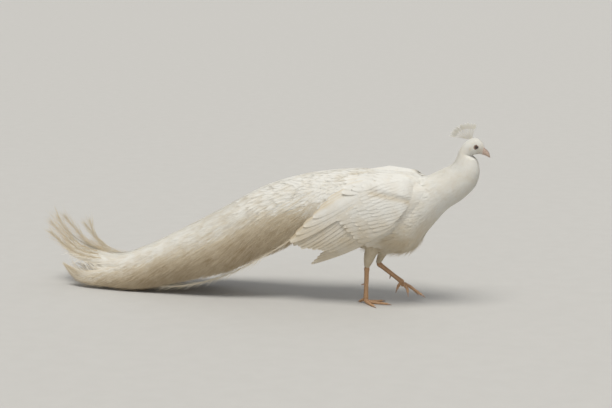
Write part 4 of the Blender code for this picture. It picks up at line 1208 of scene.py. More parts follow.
def train_feathers(feather):
    """The train: shafts with an inner vane and loose barbs, the longest lowest and farthest back."""
    chance = draws("train")
    vanes = Piece("train_vanes", "feather", feather)
    barbs = [Piece(f"train_barbs_{k}", "feather", feather) for k in range(4)]
    ranks = np.array(TRAIN_RANKS)
    s = np.linspace(0, 1, SHAFT_ROWS)[None, :]
    u = np.linspace(-1, 1, 5)
    for tier in range(TRAIN_TIERS):
        rank = tier / (TRAIN_TIERS - 1)
        count = SHAFTS + tier % 3 + MORE_SHAFTS * (rank > 0.85)
        turn = np.linspace(-1, 1, count)
        turn = np.clip(turn + chance.normal(0, 0.035, count), -1, 1)
        root_x = np.interp(rank, ranks[:, 0], ranks[:, 1]) + chance.normal(0, 0.006, count)
        tip_x = np.interp(rank, ranks[:, 0], ranks[:, 2]) + chance.normal(0, 0.018, count) * (rank < 0.97)
        tip_x = np.maximum(tip_x + np.abs(chance.normal(0, 0.03, count)) * (rank > 0.9), LAST_TIP)
        tip_x = np.where(np.abs(turn) > 0.74, np.maximum(tip_x, LOWER_TIP + 0.02), tip_x)
        x = root_x[:, None] + (tip_x - root_x)[:, None] * s
        spread = 0.76 + 0.24 * blend(root_x[:, None] - x, 0.0, 0.16)
        sway = chance.normal(0, 0.05, (count, 1)) * s**2
        sway = sway + chance.normal(0, 0.03, (count, 1)) * np.sin(4.0 * s)
        angle = train_reach(x) * SHAFT_REACH * spread * np.clip(turn[:, None] + sway, -1.03, 1.03)
        extra = chance.uniform(0, 0.002, (count, 1))
        path, out = on_train(x, angle, train_depth(rank, x) + 0.004 * (1 - s) ** 4 + extra)
        cross = across_path(path, out)
        uv = train_place(root_x, turn, (0.92, 0.6))
        width = (VANE_HALF_WIDTH + VANE_GROWTH * rank) * np.clip(np.sin(np.pi * s**0.7) * 1.6, 0.15, 1)
        width = width * (1 - 0.70 * blend(-x, 0.98, 1.18)) * (1 - 0.6 * blend(s, 0.75, 1.0))
        # Painted shade towards the roots, under the feathers above, and tan on the train's sides, partly
        # stain and partly painted shade.
        shade = 0.30 * (1 - s) ** 2 + 0.50 * blend(np.abs(angle), 0.7, 1.7) + 0.08
        vanes.add(vane(path, cross, out, width, u, 0.16), uv, np.clip(shade, 0, 1)[..., None])
        shaft_barbs(barbs[tier % 4], chance, x, angle, extra, uv, rank)
    vanes.build()
    made = [piece.build() for piece in barbs]
    return made[0]


def shaft_barbs(piece, chance, x, angle, extra, uv, rank):
    """Long loose barbs down both sides of each shaft, which drape along the train."""
    place = barb_roots(chance, len(x), int(SHAFT_BARBS + MORE_BARBS * rank), 0.06, 0.97)
    at = sampler(place, x.shape[1])
    here_x, here_angle = at(x), at(angle)
    side = blend(np.abs(here_angle), 0.95, 1.8)
    end = blend(-here_x, 1.00, 1.20)
    depth = np.broadcast_to(extra, place.shape)
    places = barb_places(uv, place)
    for sign in (-1.0, 1.0):
        length = (BARB_LENGTH + BARB_GROWTH * rank) * (0.5 + 0.6 * blend(place, 0.05, 0.5))
        length = length * chance.uniform(0.7, 1.25, place.shape) * (1 + 0.35 * side) * (1 - 0.30 * end)
        spread = sign * chance.uniform(*SHAFT_SPREAD, place.shape) * (1 - 0.3 * end)
        # Tan on the train's sides, partly stain and partly painted shade; tan at its end; and painted shade
        # towards the shafts' roots, under the feathers above.
        tint = 0.04 + 0.66 * side + 0.30 * end + 0.16 * (1 - place) ** 2
        tint = tint + chance.uniform(-0.10, 0.14, place.shape)
        kept = ~(in_parting(here_x, here_angle) | in_parting(here_x - 0.7 * length, here_angle))
        values = (here_x, here_angle, depth, length, spread, tint)
        train_barbs(piece, chance, rank, *(value[kept] for value in values), places[kept.ravel()])


def add_barbs(piece, chance, path, frame, uv, size, droop, tint, per, spread, thick):
    """Loose barbs down both sides of shafts that lie off the train's surface."""
    along, cross, out = frame
    number, rows, _ = path.shape
    place = barb_roots(chance, number, per, 0.05, 0.985)
    at = sampler(place, rows)
    here = at(path)
    v = np.linspace(0, 1, BARB_STEPS)[None, None, :, None]
    for sign in (-1.0, 1.0):
        length = size * (0.6 + 0.5 * blend(place, 0.05, 0.5)) * (1 - 0.5 * blend(place, 0.85, 1))
        length = length * chance.uniform(0.5, 1.3, place.shape)
        goal = sampler(np.minimum(place + length / BARB_AHEAD, 1.0), rows)(path)
        short = np.maximum(length - np.linalg.norm(goal - here, axis=-1), 0)
        goal = goal + unit(at(along)) * short[..., None]
        wander = chance.uniform(*spread, place.shape) * length * sign
        barb = here[:, :, None] + (goal - here)[:, :, None] * v
        barb = barb + unit(at(cross))[:, :, None] * (wander[..., None, None] * np.sin(v * math.pi / 2))
        stray = chance.normal(0, 0.06, place.shape) * length
        barb = barb + at(out)[:, :, None] * (stray[..., None, None] * v)
        barb[..., 2] -= (droop * length)[..., None] * v[..., 0] ** 2
        up = np.repeat(at(out).reshape(-1, 1, 3), BARB_STEPS, axis=1)
        shade = tint + chance.uniform(-0.12, 0.16, place.size)
        width = chance.uniform(*thick, place.size)
        barb = barb.reshape(-1, BARB_STEPS, 3)
        ribbons(piece, barb, up, width, barb_places(uv, place), shade[:, None, None])


def train_ends(feather):
    """The soft rounded ends of the train feathers, row over row to the train's end, with fringes."""
    chance = draws("ends")
    pieces = [Piece("train_ends_" + name, "feather", feather) for name in ("front", "middle", "rear")]
    x = ENDS_FROM
    row = 0
    u = np.linspace(-1, 1, 5)
    rows = EYE_ROWS[None, :]
    while x > ENDS_TO:
        share = blend(-x, 0.10, 0.95)
        length, half = 0.050 + 0.075 * share, 0.0090 + 0.0085 * share
        _, half_width, half_height, reach = table(TRAIN, x)
        reach = math.radians(reach) * (0.96 - 0.22 * blend(-x, 1.02, 1.22))
        arc = 2 * reach * (half_width + half_height) / 2
        count = max(5, int(arc / (half * (1.02 + 0.25 * share))))
        turn = np.linspace(-1, 1, count) + (0.5 if row % 2 else 0.0) * 2 / count
        turn = np.clip(turn + chance.normal(0, 0.25 / count, count), -1, 1)
        root = x + chance.normal(0, 0.004 + 0.008 * share, count)
        size = length * chance.uniform(0.85, 1.15, count)
        side = blend(np.abs(turn * reach), 0.90, 1.75)
        size = np.minimum(size * (1 + 0.3 * side), root + ENDS_LIMIT)
        xs = root[:, None] - size[:, None] * rows
        here = train_reach(xs)
        angle = np.abs(turn)[:, None] * reach / here[:, :1] * here + 0.10 * side[:, None] * rows
        angle = np.minimum(angle, here) * np.sign(turn)[:, None]
        depth = 0.0022 + 0.004 * (1 - rows) ** 2 + chance.uniform(-0.0007, 0.0007, (count, 1))
        path, out = on_train(xs, angle, depth)
        cross = across_path(path, out)
        wide = half * (1 - 0.45 * blend(-x, 0.88, 1.02)) * chance.uniform(0.85, 1.15, (count, 1))
        wide = wide * EYE_WIDTHS[None, :]
        uv = train_place(np.full(count, x), turn, (0.9, 1.3))
        # Tan on the train's sides, partly stain and partly painted shade, and painted shade towards the
        # roots, under the ends above.
        shade = 0.05 + 0.52 * side[:, None, None] + 0.16 * (1 - rows[..., None]) ** 2
        piece = pieces[int(x < -0.36) + int(x < -0.66)]
        kept = ~in_parting(xs, angle).any(axis=1) & ((x > -0.94) | (turn < 0.2))
        piece.add(vane(path, cross, out, wide, u, 0.12)[kept], uv[kept], shade[kept])
        fringe(piece, chance, *(values[kept] for values in (xs, angle, depth, wide, uv, side, size)))
        x -= 0.020 + 0.018 * share
        row += 1
    for piece in pieces:
        piece.build()


def fringe(piece, chance, xs, angle, depth, wide, uv, side, size):
    """Fine barbs round each soft end, swept back and a little outwards."""
    number, rows = xs.shape
    per = FRINGE_BARBS
    place = np.tile(np.linspace(0.25, 0.97, per // 2), 2) + chance.normal(0, 0.02, (number, per))
    sign = np.repeat([-1.0, 1.0], per // 2) * np.ones((number, 1))
    at = sampler(place, rows)
    x = at(xs)
    turn = at(angle) + sign * at(wide) * 0.7 / table(TRAIN, x)[..., 1]
    length = (0.36 * size[:, None] + 0.010) * chance.uniform(0.7, 1.25, (number, per))
    length = length * (1 + 0.5 * side[:, None])
    spread = sign * chance.uniform(*FRINGE_SPREAD, (number, per))
    # Tan on the train's sides, partly stain and partly painted shade, and a little at random.
    tint = 0.05 + 0.64 * side[:, None] + chance.uniform(-0.10, 0.14, (number, per))
    places = np.repeat(uv, per, axis=0) + chance.uniform(-0.003, 0.003, (number * per, 2))
    values = (x, turn, at(depth) - 0.0006, length, spread, tint)
    train_barbs(piece, chance, 0.0, *(value.ravel() for value in values), places)


def low_train(feather):
    """The lowest train feathers, which sweep along the floor and end in a group of their own."""
    chance = draws("low_train")
    piece = Piece("train_low", "feather", feather)
    turn = np.linspace(-1, 1, LOW_COUNT)
    t_end = 8.6 + 0.4 * chance.random(LOW_COUNT)
    s = np.linspace(0, 1, LOW_ROWS)[None, :]
    t = s * t_end[:, None]
    x, z, wide = columns_of(numbered(LOW_TRAIN), t)
    lift = 0.004 * np.abs(turn)[:, None] + chance.uniform(0.0, 0.006, (LOW_COUNT, 1)) * blend(t, 3, 6)
    path = stack(x, wide * turn[:, None] * 1.05, z + lift)
    frame = frame_of(path, (0.0, 0.0, 1.0))
    width = LOW_HALF_WIDTH * (1 - 0.85 * blend(s, 0.5, 1.0)) * (0.3 + 0.7 * blend(s, 0, 0.3))
    uv = np.stack([np.full(LOW_COUNT, 0.97), 0.5 + 0.46 * turn], -1)
    # The lowest feathers and their barbs are tan, partly stain and partly painted shade.
    piece.add(vane(path, frame[1], frame[2], width, np.linspace(-1, 1, 5)), uv, 0.60)
    add_barbs(piece, chance, path, frame, uv, 0.060, 0.12, 0.78, 100, (0.10, 0.30), (0.0010, 0.0018))
    piece.build()


def loose_feathers(feather):
    """A long feather that hangs in an arc below the train, and a few that curl up at its end."""
    chance = draws("loose")
    piece = Piece("train_loose", "feather", feather)
    width = LOOSE_HALF_WIDTH * (1 - 0.8 * np.linspace(0, 1, LOOSE_ROWS)) + 0.0003
    for points, size, droop, tint in LOOSE:
        path = table(numbered(points), np.linspace(0, len(points) - 1, LOOSE_ROWS))[None]
        frame = frame_of(path, (0.0, 1.0, 0.0))
        uv = np.array([[0.98, 0.10 + 0.10 * len(points)]])
        piece.add(vane(path, frame[1], frame[2], width[None], np.linspace(-1, 1, 3)), uv, tint)
        length = np.linalg.norm(np.diff(path[0], axis=0), axis=-1).sum()
        per = int(LOOSE_BARBS * length)
        add_barbs(piece, chance, path, frame, uv, size, droop, tint, per, (0.02, 0.40), (0.0005, 0.0011))
    piece.build()


def train_filaments(feather):
    """Long fine filaments that sweep back and down over the train's sides."""
    chance = draws("filaments")
    piece = Piece("train_filaments", "feather", feather)
    x = chance.uniform(*FILAMENT_SPAN, FILAMENTS)
    reach = train_reach(x)
    angle = chance.choice((-1.0, 1.0), FILAMENTS)
    angle = angle * (0.55 + (reach - 0.65) * np.sqrt(chance.random(FILAMENTS)))
    side = blend(np.abs(angle), 0.85, 1.75)
    length = chance.uniform(*FILAMENT_LENGTHS, FILAMENTS) * (0.7 + 0.3 * side)
    kept = ~in_parting(x - 0.7 * length, angle)
    x, angle, side, length = x[kept], angle[kept], side[kept], length[kept]
    count = len(x)
    v = np.linspace(0, 1, 7)[None, :]
    xs = x[:, None] - 0.94 * length[:, None] * v
    sweep = chance.uniform(0.10, 0.34, count) * length / table(TRAIN, x)[..., 1]
    turn = np.abs(angle)[:, None] + sweep[:, None] * v**1.4
    turn = np.minimum(turn, train_reach(xs) + 0.12) * np.sign(angle)[:, None]
    level = 0.0004 - chance.uniform(0.0004, 0.0030, (count, 1)) * np.sin(math.pi * v * 0.8)
    path, out = on_train(xs, turn, level)
    path[..., 2] -= 0.14 * (length * side)[:, None] * v**2
    # Tan on the train's sides, partly stain and partly painted shade, and a little at random.
    tint = 0.04 + 0.64 * side + chance.uniform(-0.16, 0.20, count)
    places = np.stack([0.04 + 0.9 * (0.05 - x) / 1.3, 0.5 + 0.46 * angle / 2.1], -1)
    ribbons(piece, path, out, chance.uniform(*FILAMENT_WIDTHS, count), places, tint[:, None, None])
    piece.build()


def back_scales(feather):
    """The short scale-like feathers over the rump and the front of the train."""
    chance = draws("back")

    def surface(t, a, out):
        top, half_width, half_height, reach = columns_of(BACK_FRONT + TRAIN, t)
        angle = a / math.pi * np.radians(reach)
        rise = (half_height + out) * np.cos(angle)
        return stack(t, (half_width + out) * np.sin(angle), top - half_height + rise)

    def in_front(t, a, points):
        fade = blend(-t, 0.12, 0.46) + blend(np.abs(a), 1.1, 2.9) * blend(-t, 0.02, 0.16)
        return (chance.random(len(t)) > fade) & (np.abs(a) < math.pi * 0.95)

    def place(t, a):
        return np.stack([np.clip((0.22 - t) / 0.8, 0.02, 0.98), 0.5 + 0.48 * a / math.pi], -1)

    t, a = scatter(surface, (-0.54, 0.20), BACK_COAT, chance, in_front)
    piece = Piece("back_scales", "feather", feather)
    # A little tan at random, and more low on the sides towards the train, partly stain and partly painted
    # shade.
    tint = chance.uniform(0, 0.06, len(t)) + 0.30 * blend(np.abs(a), 1.7, 3.0) * blend(-t, 0.1, 0.3)
    small_feathers(piece, surface, t, a, BACK_COAT, BACK_DEPTHS, chance, place, tint, 0.0003, columns=5)
    piece.build()


def tail_feathers(feather):
    """The true tail's feathers, fanned out under the train."""
    chance = draws("tail")
    piece = Piece("tail_feathers", "feather", feather)
    turn = np.linspace(-1, 1, TAIL_COUNT)
    off = np.abs(turn)[:, None]
    s = FLIGHT_ROWS[None, :]
    x, z, wide = columns_of(numbered(TAIL), s * 4)
    x = x + 0.05 * off * s
    z = z - 0.010 * off * s - 0.0040 * off + chance.uniform(-0.0005, 0.0005, (TAIL_COUNT, 1))
    path = stack(x, wide * turn[:, None], z)
    _, cross, out = frame_of(path, (0.0, 0.0, 1.0))
    u = np.linspace(-1, 1, 7)
    width = TAIL_HALF_WIDTH * FLIGHT_WIDTHS[None, :]
    grid = vane(path, cross, out, width, u)
    grid = grid + out[:, :, None] * (0.10 * width[..., None] * (1 - u**2))[..., None]
    uv = np.stack([np.full(TAIL_COUNT, 0.5), 0.5 + 0.45 * turn], -1)
    piece.add(grid, uv, (0.35 - 0.15 * s)[..., None])
    return piece.build()


def crest_feathers(feather):
    """The crest: bare stalks with a few short barbs, and a small fan at each tip."""
    chance = draws("crest")
    piece = Piece("crest_feathers", "feather", feather)
    share = np.linspace(0, 1, CREST_COUNT)
    (first, last), (short, long) = CREST_ANGLES, CREST_LENGTHS
    angle = np.radians(first + (last - first) * share + chance.normal(0, 1.2, CREST_COUNT))
    length = short + (long - short) * share + chance.uniform(-0.004, 0.0005, CREST_COUNT)
    y = 0.0024 * ((np.arange(CREST_COUNT) % 3) - 1)
    root = stack(CREST_PAD[0] + 0.007 - 0.017 * share, y * 0.8, CREST_PAD[1] + 0.001)
    along = unit(stack(np.cos(angle), chance.normal(0, 0.03, CREST_COUNT), np.sin(angle)))
    across = unit(np.cross(along, np.array((0.0, 1.0, 0.0))))
    side = unit(np.cross(across, along))
    uv = np.stack([0.1 + 0.8 * share, np.full(CREST_COUNT, 0.5)], -1)
    crest_stalks(piece, root, (along, across, side), length, uv)
    crest_barbs(piece, chance, root, (along, across, side), length, uv)
    return piece.build()


def crest_stalks(piece, root, frame, length, uv):
    """The crest's stalks, round in section and thinner towards their tips."""
    along, across, side = frame
    s = np.linspace(0, 1, 6)[None, :, None]
    path = root[:, None] + along[:, None] * length[:, None, None] * s * 0.93
    thick = CREST_STALK * (1.25 - 0.5 * s)
    lines = []
    for r in (math.tau * k / 5 for k in range(6)):
        lines.append(path + (across[:, None] * math.cos(r) + side[:, None] * math.sin(r)) * thick)
    piece.add(np.stack(lines, axis=2), uv, 0.16)


def crest_barbs(piece, chance, root, frame, length, uv):
    """The fan at each stalk's tip, and the few short barbs below it."""
    along, across, side = frame
    v = np.linspace(0, 1, BARB_STEPS)[None, :, None]
    for k in range(CREST_FAN + CREST_BEARD):
        if k < CREST_FAN:
            place = k / (CREST_FAN - 1)
            at = 0.70 + 0.25 * place
            lean = (-1) ** k * (0.62 - 0.56 * place) * chance.uniform(0.8, 1.2, CREST_COUNT)
            reach, width = 0.0105 + 0.0020 * math.sin(math.pi * place), 0.0008
        else:
            at = 0.14 + 0.56 * (k - CREST_FAN) / CREST_BEARD
            lean = (-1) ** k * chance.uniform(0.35, 0.60, CREST_COUNT)
            reach, width = 0.0055, 0.0004
        base = root + along * (length * (at + chance.uniform(-0.01, 0.01, CREST_COUNT)))[:, None]
        aside = side * chance.normal(0, 0.16, (CREST_COUNT, 1))
        direction = unit(along * np.cos(lean)[:, None] + across * np.sin(lean)[:, None] + aside)
        size = reach * chance.uniform(0.85, 1.1, CREST_COUNT)
        curve = along - direction
        path = base[:, None] + (direction[:, None] * v + 0.45 * curve[:, None] * v**2) * size[:, None, None]
        up = np.repeat(side[:, None], BARB_STEPS, axis=1)
        ribbons(piece, path, up, np.full(CREST_COUNT, width), uv, 0.02)


def closed_sheet(piece, grid, place, tint, patch=0.2):
    """Adds one sheet that closes on itself round its columns, on its own square of the unwrap."""
    rows, columns = grid.shape[:2]
    piece.add(grid[None], np.array([place]), np.broadcast_to(tint, (1, rows, columns)), patch=patch)


def tile(k, count):
    """The middle and size of the k-th of count squares on the unwrap."""
    side = math.ceil(math.sqrt(count))
    return ((k % side + 0.5) / side, (k // side + 0.5) / side), 0.92 / side


def add_tiles(piece, sheets):
    """Adds closed sheets, each with its tint and on its own square of the unwrap."""
    for k, (grid, tint) in enumerate(sheets):
        place, size = tile(k, len(sheets))
        closed_sheet(piece, grid, place, tint, patch=size)


def wrapped(outer, inner):
    """One closed sheet of an outer side and an inner side that runs the other way."""
    return np.concatenate([outer, inner, outer[:, :1]], axis=1)


def skin(material):
    """One skin under the coat: body, neck and head, thighs, rump and the wings' flesh."""
    piece = Piece("skin", "face", material)
    t, a = field((0, BODY_END, 221), (-math.pi, math.pi, 97))
    depth = table(COAT_DEPTH, t)[..., 0]
    depth = np.minimum(depth, table(numbered(BODY), t)[..., 4] * 0.5)
    body = body_point(t, a, -depth)
    near_eye = np.hypot(body[..., 0] - EYE_CENTRE[0], body[..., 2] - EYE_CENTRE[2])
    bare = 0.5 * blend(t, 14.5, 16.5) + 0.4 * blend(-near_eye, -0.0115, -0.0075)
    closed_sheet(piece, body, (0.34, 0.34), bare, patch=0.64)
    t, a = field((0, len(LEFT_THIGH) - 1, 41), (-math.pi, math.pi, 33))
    inset = THIGH_DEPTH * (1 - 0.7 * blend(t, 3, 5))
    for k, line in enumerate((RIGHT_THIGH, LEFT_THIGH)):
        closed_sheet(piece, limb_point(line, t, a, -inset), (0.84, 0.16 + 0.28 * k), 0.0, patch=0.26)
    x = np.linspace(0.028, CORE_END, 60)
    reach = (train_reach(x) * 0.74)[:, None]
    turn = np.linspace(-1, 1, 40)
    depth = train_depth(1.0, x) + 0.002
    outer = train_point(x[:, None], reach * turn, depth[:, None])
    inner = train_point(x[:, None], reach * turn[::-1], (depth + 0.010)[:, None])
    closed_sheet(piece, wrapped(outer, inner), (0.16, 0.84), 0.0, patch=0.26)
    for _, hand in SIDES:
        closed_sheet(piece, wing_flesh(hand), (0.62 + 0.15 * hand, 0.84), 0.0, patch=0.26)
    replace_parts(piece.build(), "torso", "neck", "head", "thigh_right", "thigh_left")


def wing_flesh(hand):
    """The flesh under a folded wing's feathers."""
    x = np.linspace(WING_CORE[0][0], WING_CORE[-1][0], 30)[:, None]
    top, bottom = columns_of(WING_CORE, x)
    share = np.linspace(0, 1, 24)
    z = bottom + (top - bottom) * share
    swell = (WING_CORE_THICK - 0.004) * (0.25 + 0.75 * np.sin(np.pi * share) ** 0.5)
    swell = swell - 0.016 * blend(x, 0.10, 0.18)
    return wrapped(side_point(x, z, swell, hand), side_point(x, z[:, ::-1], -0.010, hand))


def head_side(x, z):
    """How far the head's side lies from its middle at x and z."""
    t, a = field((13.0, 20.0, 280), (0.1, 3.0, 160))
    shell = body_point(t, a, -0.0010).reshape(-1, 3)
    far = (shell[None, :, 0] - x.reshape(-1, 1)) ** 2 + (shell[None, :, 2] - z.reshape(-1, 1)) ** 2
    return shell[np.argmin(far, axis=1), 1].reshape(x.shape)


def eye_ball(material, side, hand):
    """A glossy eyeball with a dark iris and pupil. The tint runs from its pole outwards."""
    piece = Piece("eye_ball_" + side, "eye", material)
    turn, ring = field((0, math.pi, 41), (-math.pi, math.pi, 49))
    centre = np.array(EYE_CENTRE)
    gaze = unit(np.array(GAZE))
    up = unit(np.array((0.0, 0.0, 1.0)) - gaze * gaze[2])
    across = np.cross(up, gaze)
    bulge = 1 + 0.035 * np.exp(-((turn / 0.5) ** 2))
    spot = gaze * np.cos(turn)[..., None]
    spot = spot + (up * np.cos(ring)[..., None] + across * np.sin(ring)[..., None]) * np.sin(turn)[..., None]
    grid = centre + spot * (EYE_RADIUS * 0.97 * bulge)[..., None]
    grid[..., 1] *= hand
    closed_sheet(piece, grid, (0.5, 0.5), turn / math.pi, patch=0.94)
    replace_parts(piece.build(), "eye_" + side)


def eye_lids(material, side, hand):
    """Bare wrinkled lids round an almond opening, joined to the face."""
    piece = Piece("lids_" + side, "face", material)
    x0, y0, z0 = EYE_CENTRE
    ring, inward = field((-math.pi, math.pi, 73), (0, 1, 17))
    c, s = np.cos(ring), np.sin(ring)
    opening = LID_OPENING - 0.0012 * s**2 + 0.0004 * np.clip(-s, 0, 1)
    r = LID_RADIUS + (opening - LID_RADIUS) * inward
    x, z = x0 + r * c, z0 + r * s
    skin_y = head_side(x0 + LID_RADIUS * c[:, :1], z0 + LID_RADIUS * s[:, :1])
    ball = y0 + np.sqrt(np.maximum((EYE_RADIUS * 1.03) ** 2 - np.minimum(r, EYE_RADIUS) ** 2, 0))
    share = blend(inward, 0.0, 0.80)
    y = (skin_y - 0.0003) * (1 - share) + (np.maximum(ball, y0 + 0.0030) + 0.0003) * share
    folds = np.sin(inward * 15.0 + 0.5 * np.sin(3 * ring)) * 0.00016 * np.sin(math.pi * inward)
    rim = 0.00055 * np.exp(-(((inward - 0.93) / 0.05) ** 2))
    y = y + folds + rim
    grid = stack(x, y * hand, z)
    inner = stack(x[:, -1:], (y[:, -1:] - 0.0012) * hand, z[:, -1:])
    shade = 0.5 + 0.5 * blend(inward, 0.10, 0.75)
    shade = np.concatenate([shade, shade[:, -1:]], axis=1)
    sheet = np.concatenate([grid, inner], axis=1).transpose(1, 0, 2)
    closed_sheet(piece, sheet, (0.5, 0.5), shade.T, patch=0.94)
    piece.build()


def bill(material):
    """The decurved bill: an upper half that overhangs the lower, slit nostrils and a darker ridge."""
    piece = Piece("bill", "bill_horn", material)
    t, a = field((-0.30, 3.0, 60), (0, math.pi, 41))
    c, s = np.cos(a), np.sin(a)
    mouth_x, mouth_z = columns_of(numbered(MOUTH), t)
    back = np.minimum(t, 0) * 0.0066
    sheets = []
    for line, upper in ((CULMEN, True), (CHIN, False)):
        far_x, far_z = columns_of(numbered(line), t)
        width = table(numbered(BILL_HALF_WIDTHS), t)[..., 0]
        width = width * (1 + 0.02 * np.minimum(t, 0)) * (1.0 if upper else 0.97)
        y = width * np.sign(c) * np.abs(c) ** 0.85
        rise = s ** (0.95 if upper else 0.85)
        x = mouth_x + (far_x - mouth_x) * rise + back
        z = mouth_z + (far_z - mouth_z) * rise + BILL_LIFT - back * 0.3
        dark = 0.25 * blend(t, 2.2, 3.0)
        if upper:
            dent, ridge = nostril(x, z)
            y = y * (1 - 0.20 * dent + 0.06 * ridge)
            dark = 0.75 * blend(s, 0.72, 0.98) + 0.9 * dent + dark
        grid = stack(x, y, z)
        floor_line = grid[:, :1] * 0.5 + grid[:, -1:] * 0.5
        grid = np.concatenate([floor_line, grid, floor_line], axis=1)
        sheets.append((grid, np.pad(np.clip(dark, 0, 1), ((0, 0), (1, 1)), mode="edge")))
    add_tiles(piece, sheets)
    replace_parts(piece.build(), "bill_upper", "bill_lower")


def nostril(x, z):
    """How deep the slit of the nostril is at x and z, and how high the ridge above it."""
    nx, nz = NOSTRIL
    along = (x - nx) * 0.80 - (z - nz) * 0.60
    across = (x - nx) * 0.60 + (z - nz) * 0.80
    dent = np.exp(-((along / 0.0026) ** 2) - (across / 0.0009) ** 2)
    ridge = np.exp(-((along / 0.0032) ** 2) - ((across - 0.0017) / 0.0009) ** 2)
    return dent, ridge


def tube_grid(path, fore_ref, fore, side):
    """Rings round a path: fore and side are how far each point of a ring lies from it, by row and column."""
    along = unit(np.gradient(path, axis=0))
    ref = np.broadcast_to(np.array(fore_ref), along.shape)
    front = unit(ref - along * (ref * along).sum(-1, keepdims=True))
    across = np.cross(along, front)
    return path[:, None] + front[:, None] * fore[..., None] + across[:, None] * side[..., None]


def scutes(distance, size):
    """The height of overlapping scales along a limb, from 0 at each one's root to 1 at its edge."""
    step = distance / size
    return step - np.floor(step)


def shank_sheet(hock, heel):
    """The bare shank: broad scutes in front and fine scales behind. Returns points and how dark they are."""
    first, last = -SHANK_OVERLAP, 1 + SHANK_OVERLAP
    t = np.linspace(first, last, 190)
    path = hock + (heel - hock) * t[:, None]
    fore, side = columns_of(SHANK, t)
    ring = np.linspace(-math.pi, math.pi, 37)
    c, s = np.cos(ring), np.sin(ring)
    length = np.linalg.norm(heel - hock)
    saw = scutes(t * length, SCUTE)[:, None]
    front = blend(c, 0.15, 0.55)[None, :]
    bands = scutes(t[:, None] * length + 0.35 * SCUTE * np.sign(s) * np.floor(ring * 4.2), SCUTE * 0.62)
    rise = front * (0.00050 * saw**2 - 0.00020) + (1 - front) * 0.00022 * np.sin(math.pi * bands)
    tendon = 0.0007 * np.exp(-(((ring - math.pi * np.sign(ring)) / 0.5) ** 2)) * blend(t, 0.1, 0.4)[:, None]
    ends = np.minimum(t - first, last - t) / 0.075
    ends = np.sqrt(np.clip(ends, 0, 1) + 0.0004)[:, None]
    ends = np.where(ends < 0.999, np.sqrt(np.clip(1 - (1 - ends**2) ** 2, 0, 1)), 1)
    reach_f = (fore[:, None] + rise + tendon) * ends
    reach_s = (side[:, None] + rise) * ends
    grid = tube_grid(path, (1.0, 0.0, 0.0), reach_f * c, reach_s * s)
    seams = np.exp(-((np.minimum(bands, 1 - bands) / 0.16) ** 2))
    groove = front * np.exp(-((saw / 0.14) ** 2)) + (1 - front) * 0.5 * seams
    dark = 0.75 * groove + 0.42 * blend(-c, 0.1, 0.8)[None, :]
    return grid, np.clip(dark, 0, 1)


def toe_sheet(joints):
    """One toe: scutes on top, pads below that swell under the bones."""
    t = np.linspace(0, len(joints) - 1, 110)
    path = table(numbered(joints), t)
    step = np.linalg.norm(np.diff(path, axis=0), axis=-1)
    gone = np.concatenate([[0], np.cumsum(step)])
    share = gone / gone[-1]
    taper = TOE_RADIUS + (TOE_TIP_RADIUS - TOE_RADIUS) * share
    taper = taper * (1 + 0.09 * np.cos(math.tau * t)) * (0.25 + 0.75 * blend(share, -0.02, 0.05))
    taper = taper * (0.15 + 0.85 * blend(-share, -1.0, -0.955))
    ring = np.linspace(-math.pi, math.pi, 25)
    c, s = np.cos(ring), np.sin(ring)
    saw = scutes(gone, SCUTE * 0.70)[:, None]
    top = blend(c, 0.05, 0.45)[None, :]
    pads = 0.5 + 0.5 * np.cos(math.tau * (t - 0.5))[:, None]
    rise = top * (0.00034 * saw**2 - 0.00015) + (1 - top) * (0.0005 * pads - 0.0002) * 0.8
    reach = taper[:, None] + rise
    grid = tube_grid(path, (0.25, 0.0, 1.0), reach * c, reach * s * 1.02)
    dark = 0.75 * top * np.exp(-((saw / 0.16) ** 2)) + 0.30 * (1 - top) * (1 - pads) + 0.15 * (1 - top)
    return grid, np.clip(dark, 0, 1)


def cone_sheet(root, direction, length, radius, drop):
    """A curved claw or spur. Returns points and how dark they are."""
    t = np.linspace(-0.10, 1, 22)
    path = root + direction * (length * t)[:, None]
    path = path + np.array(drop) * (np.maximum(t, 0) ** 2)[:, None]
    size = radius * (1 - np.clip(t, 0, 1)) ** 0.62 + 0.00022
    size[-1] = 0.00005
    ring = np.linspace(-math.pi, math.pi, 15)
    fore = (0.0, 0.0, 1.0) if abs(direction[2]) < 0.8 else (1.0, 0.0, 0.0)
    grid = tube_grid(path, fore, size[:, None] * np.cos(ring), size[:, None] * 0.82 * np.sin(ring))
    return grid, np.broadcast_to((0.6 * np.clip(t, 0, 1))[:, None], grid.shape[:2])


def foot_hub(heel):
    """The ball of the foot, where the toes meet."""
    turn, ring = field((0, math.pi, 21), (-math.pi, math.pi, 33))
    ball = stack(np.cos(turn), np.sin(turn) * np.cos(ring), np.sin(turn) * np.sin(ring))
    return heel + np.array(HUB_PLACE) + ball * HUB_RADIUS, np.full(turn.shape, 0.15)


def claw_sheets(toes):
    """A claw at the end of each toe."""
    sheets = []
    for joints in toes.values():
        last = np.array(joints[-1])
        along = unit(last - table(numbered(joints), len(joints) - 1.5))
        root = last - along * CLAW_SUNK
        sheets.append(cone_sheet(root, along, CLAW_LENGTH + CLAW_SUNK, CLAW_RADIUS, CLAW_DROP))
    return sheets


def spur_sheet(hock, heel):
    """The spur on the back of a shank."""
    along = unit(heel - hock)
    back = unit(np.cross((0.0, 1.0, 0.0), along))
    back = back if back[0] < 0 else -back
    root = hock + (heel - hock) * SPUR_PLACE + back * 0.0045
    return cone_sheet(root, back, SPUR_LENGTH, SPUR_RADIUS * 1.05, along * 0.004)


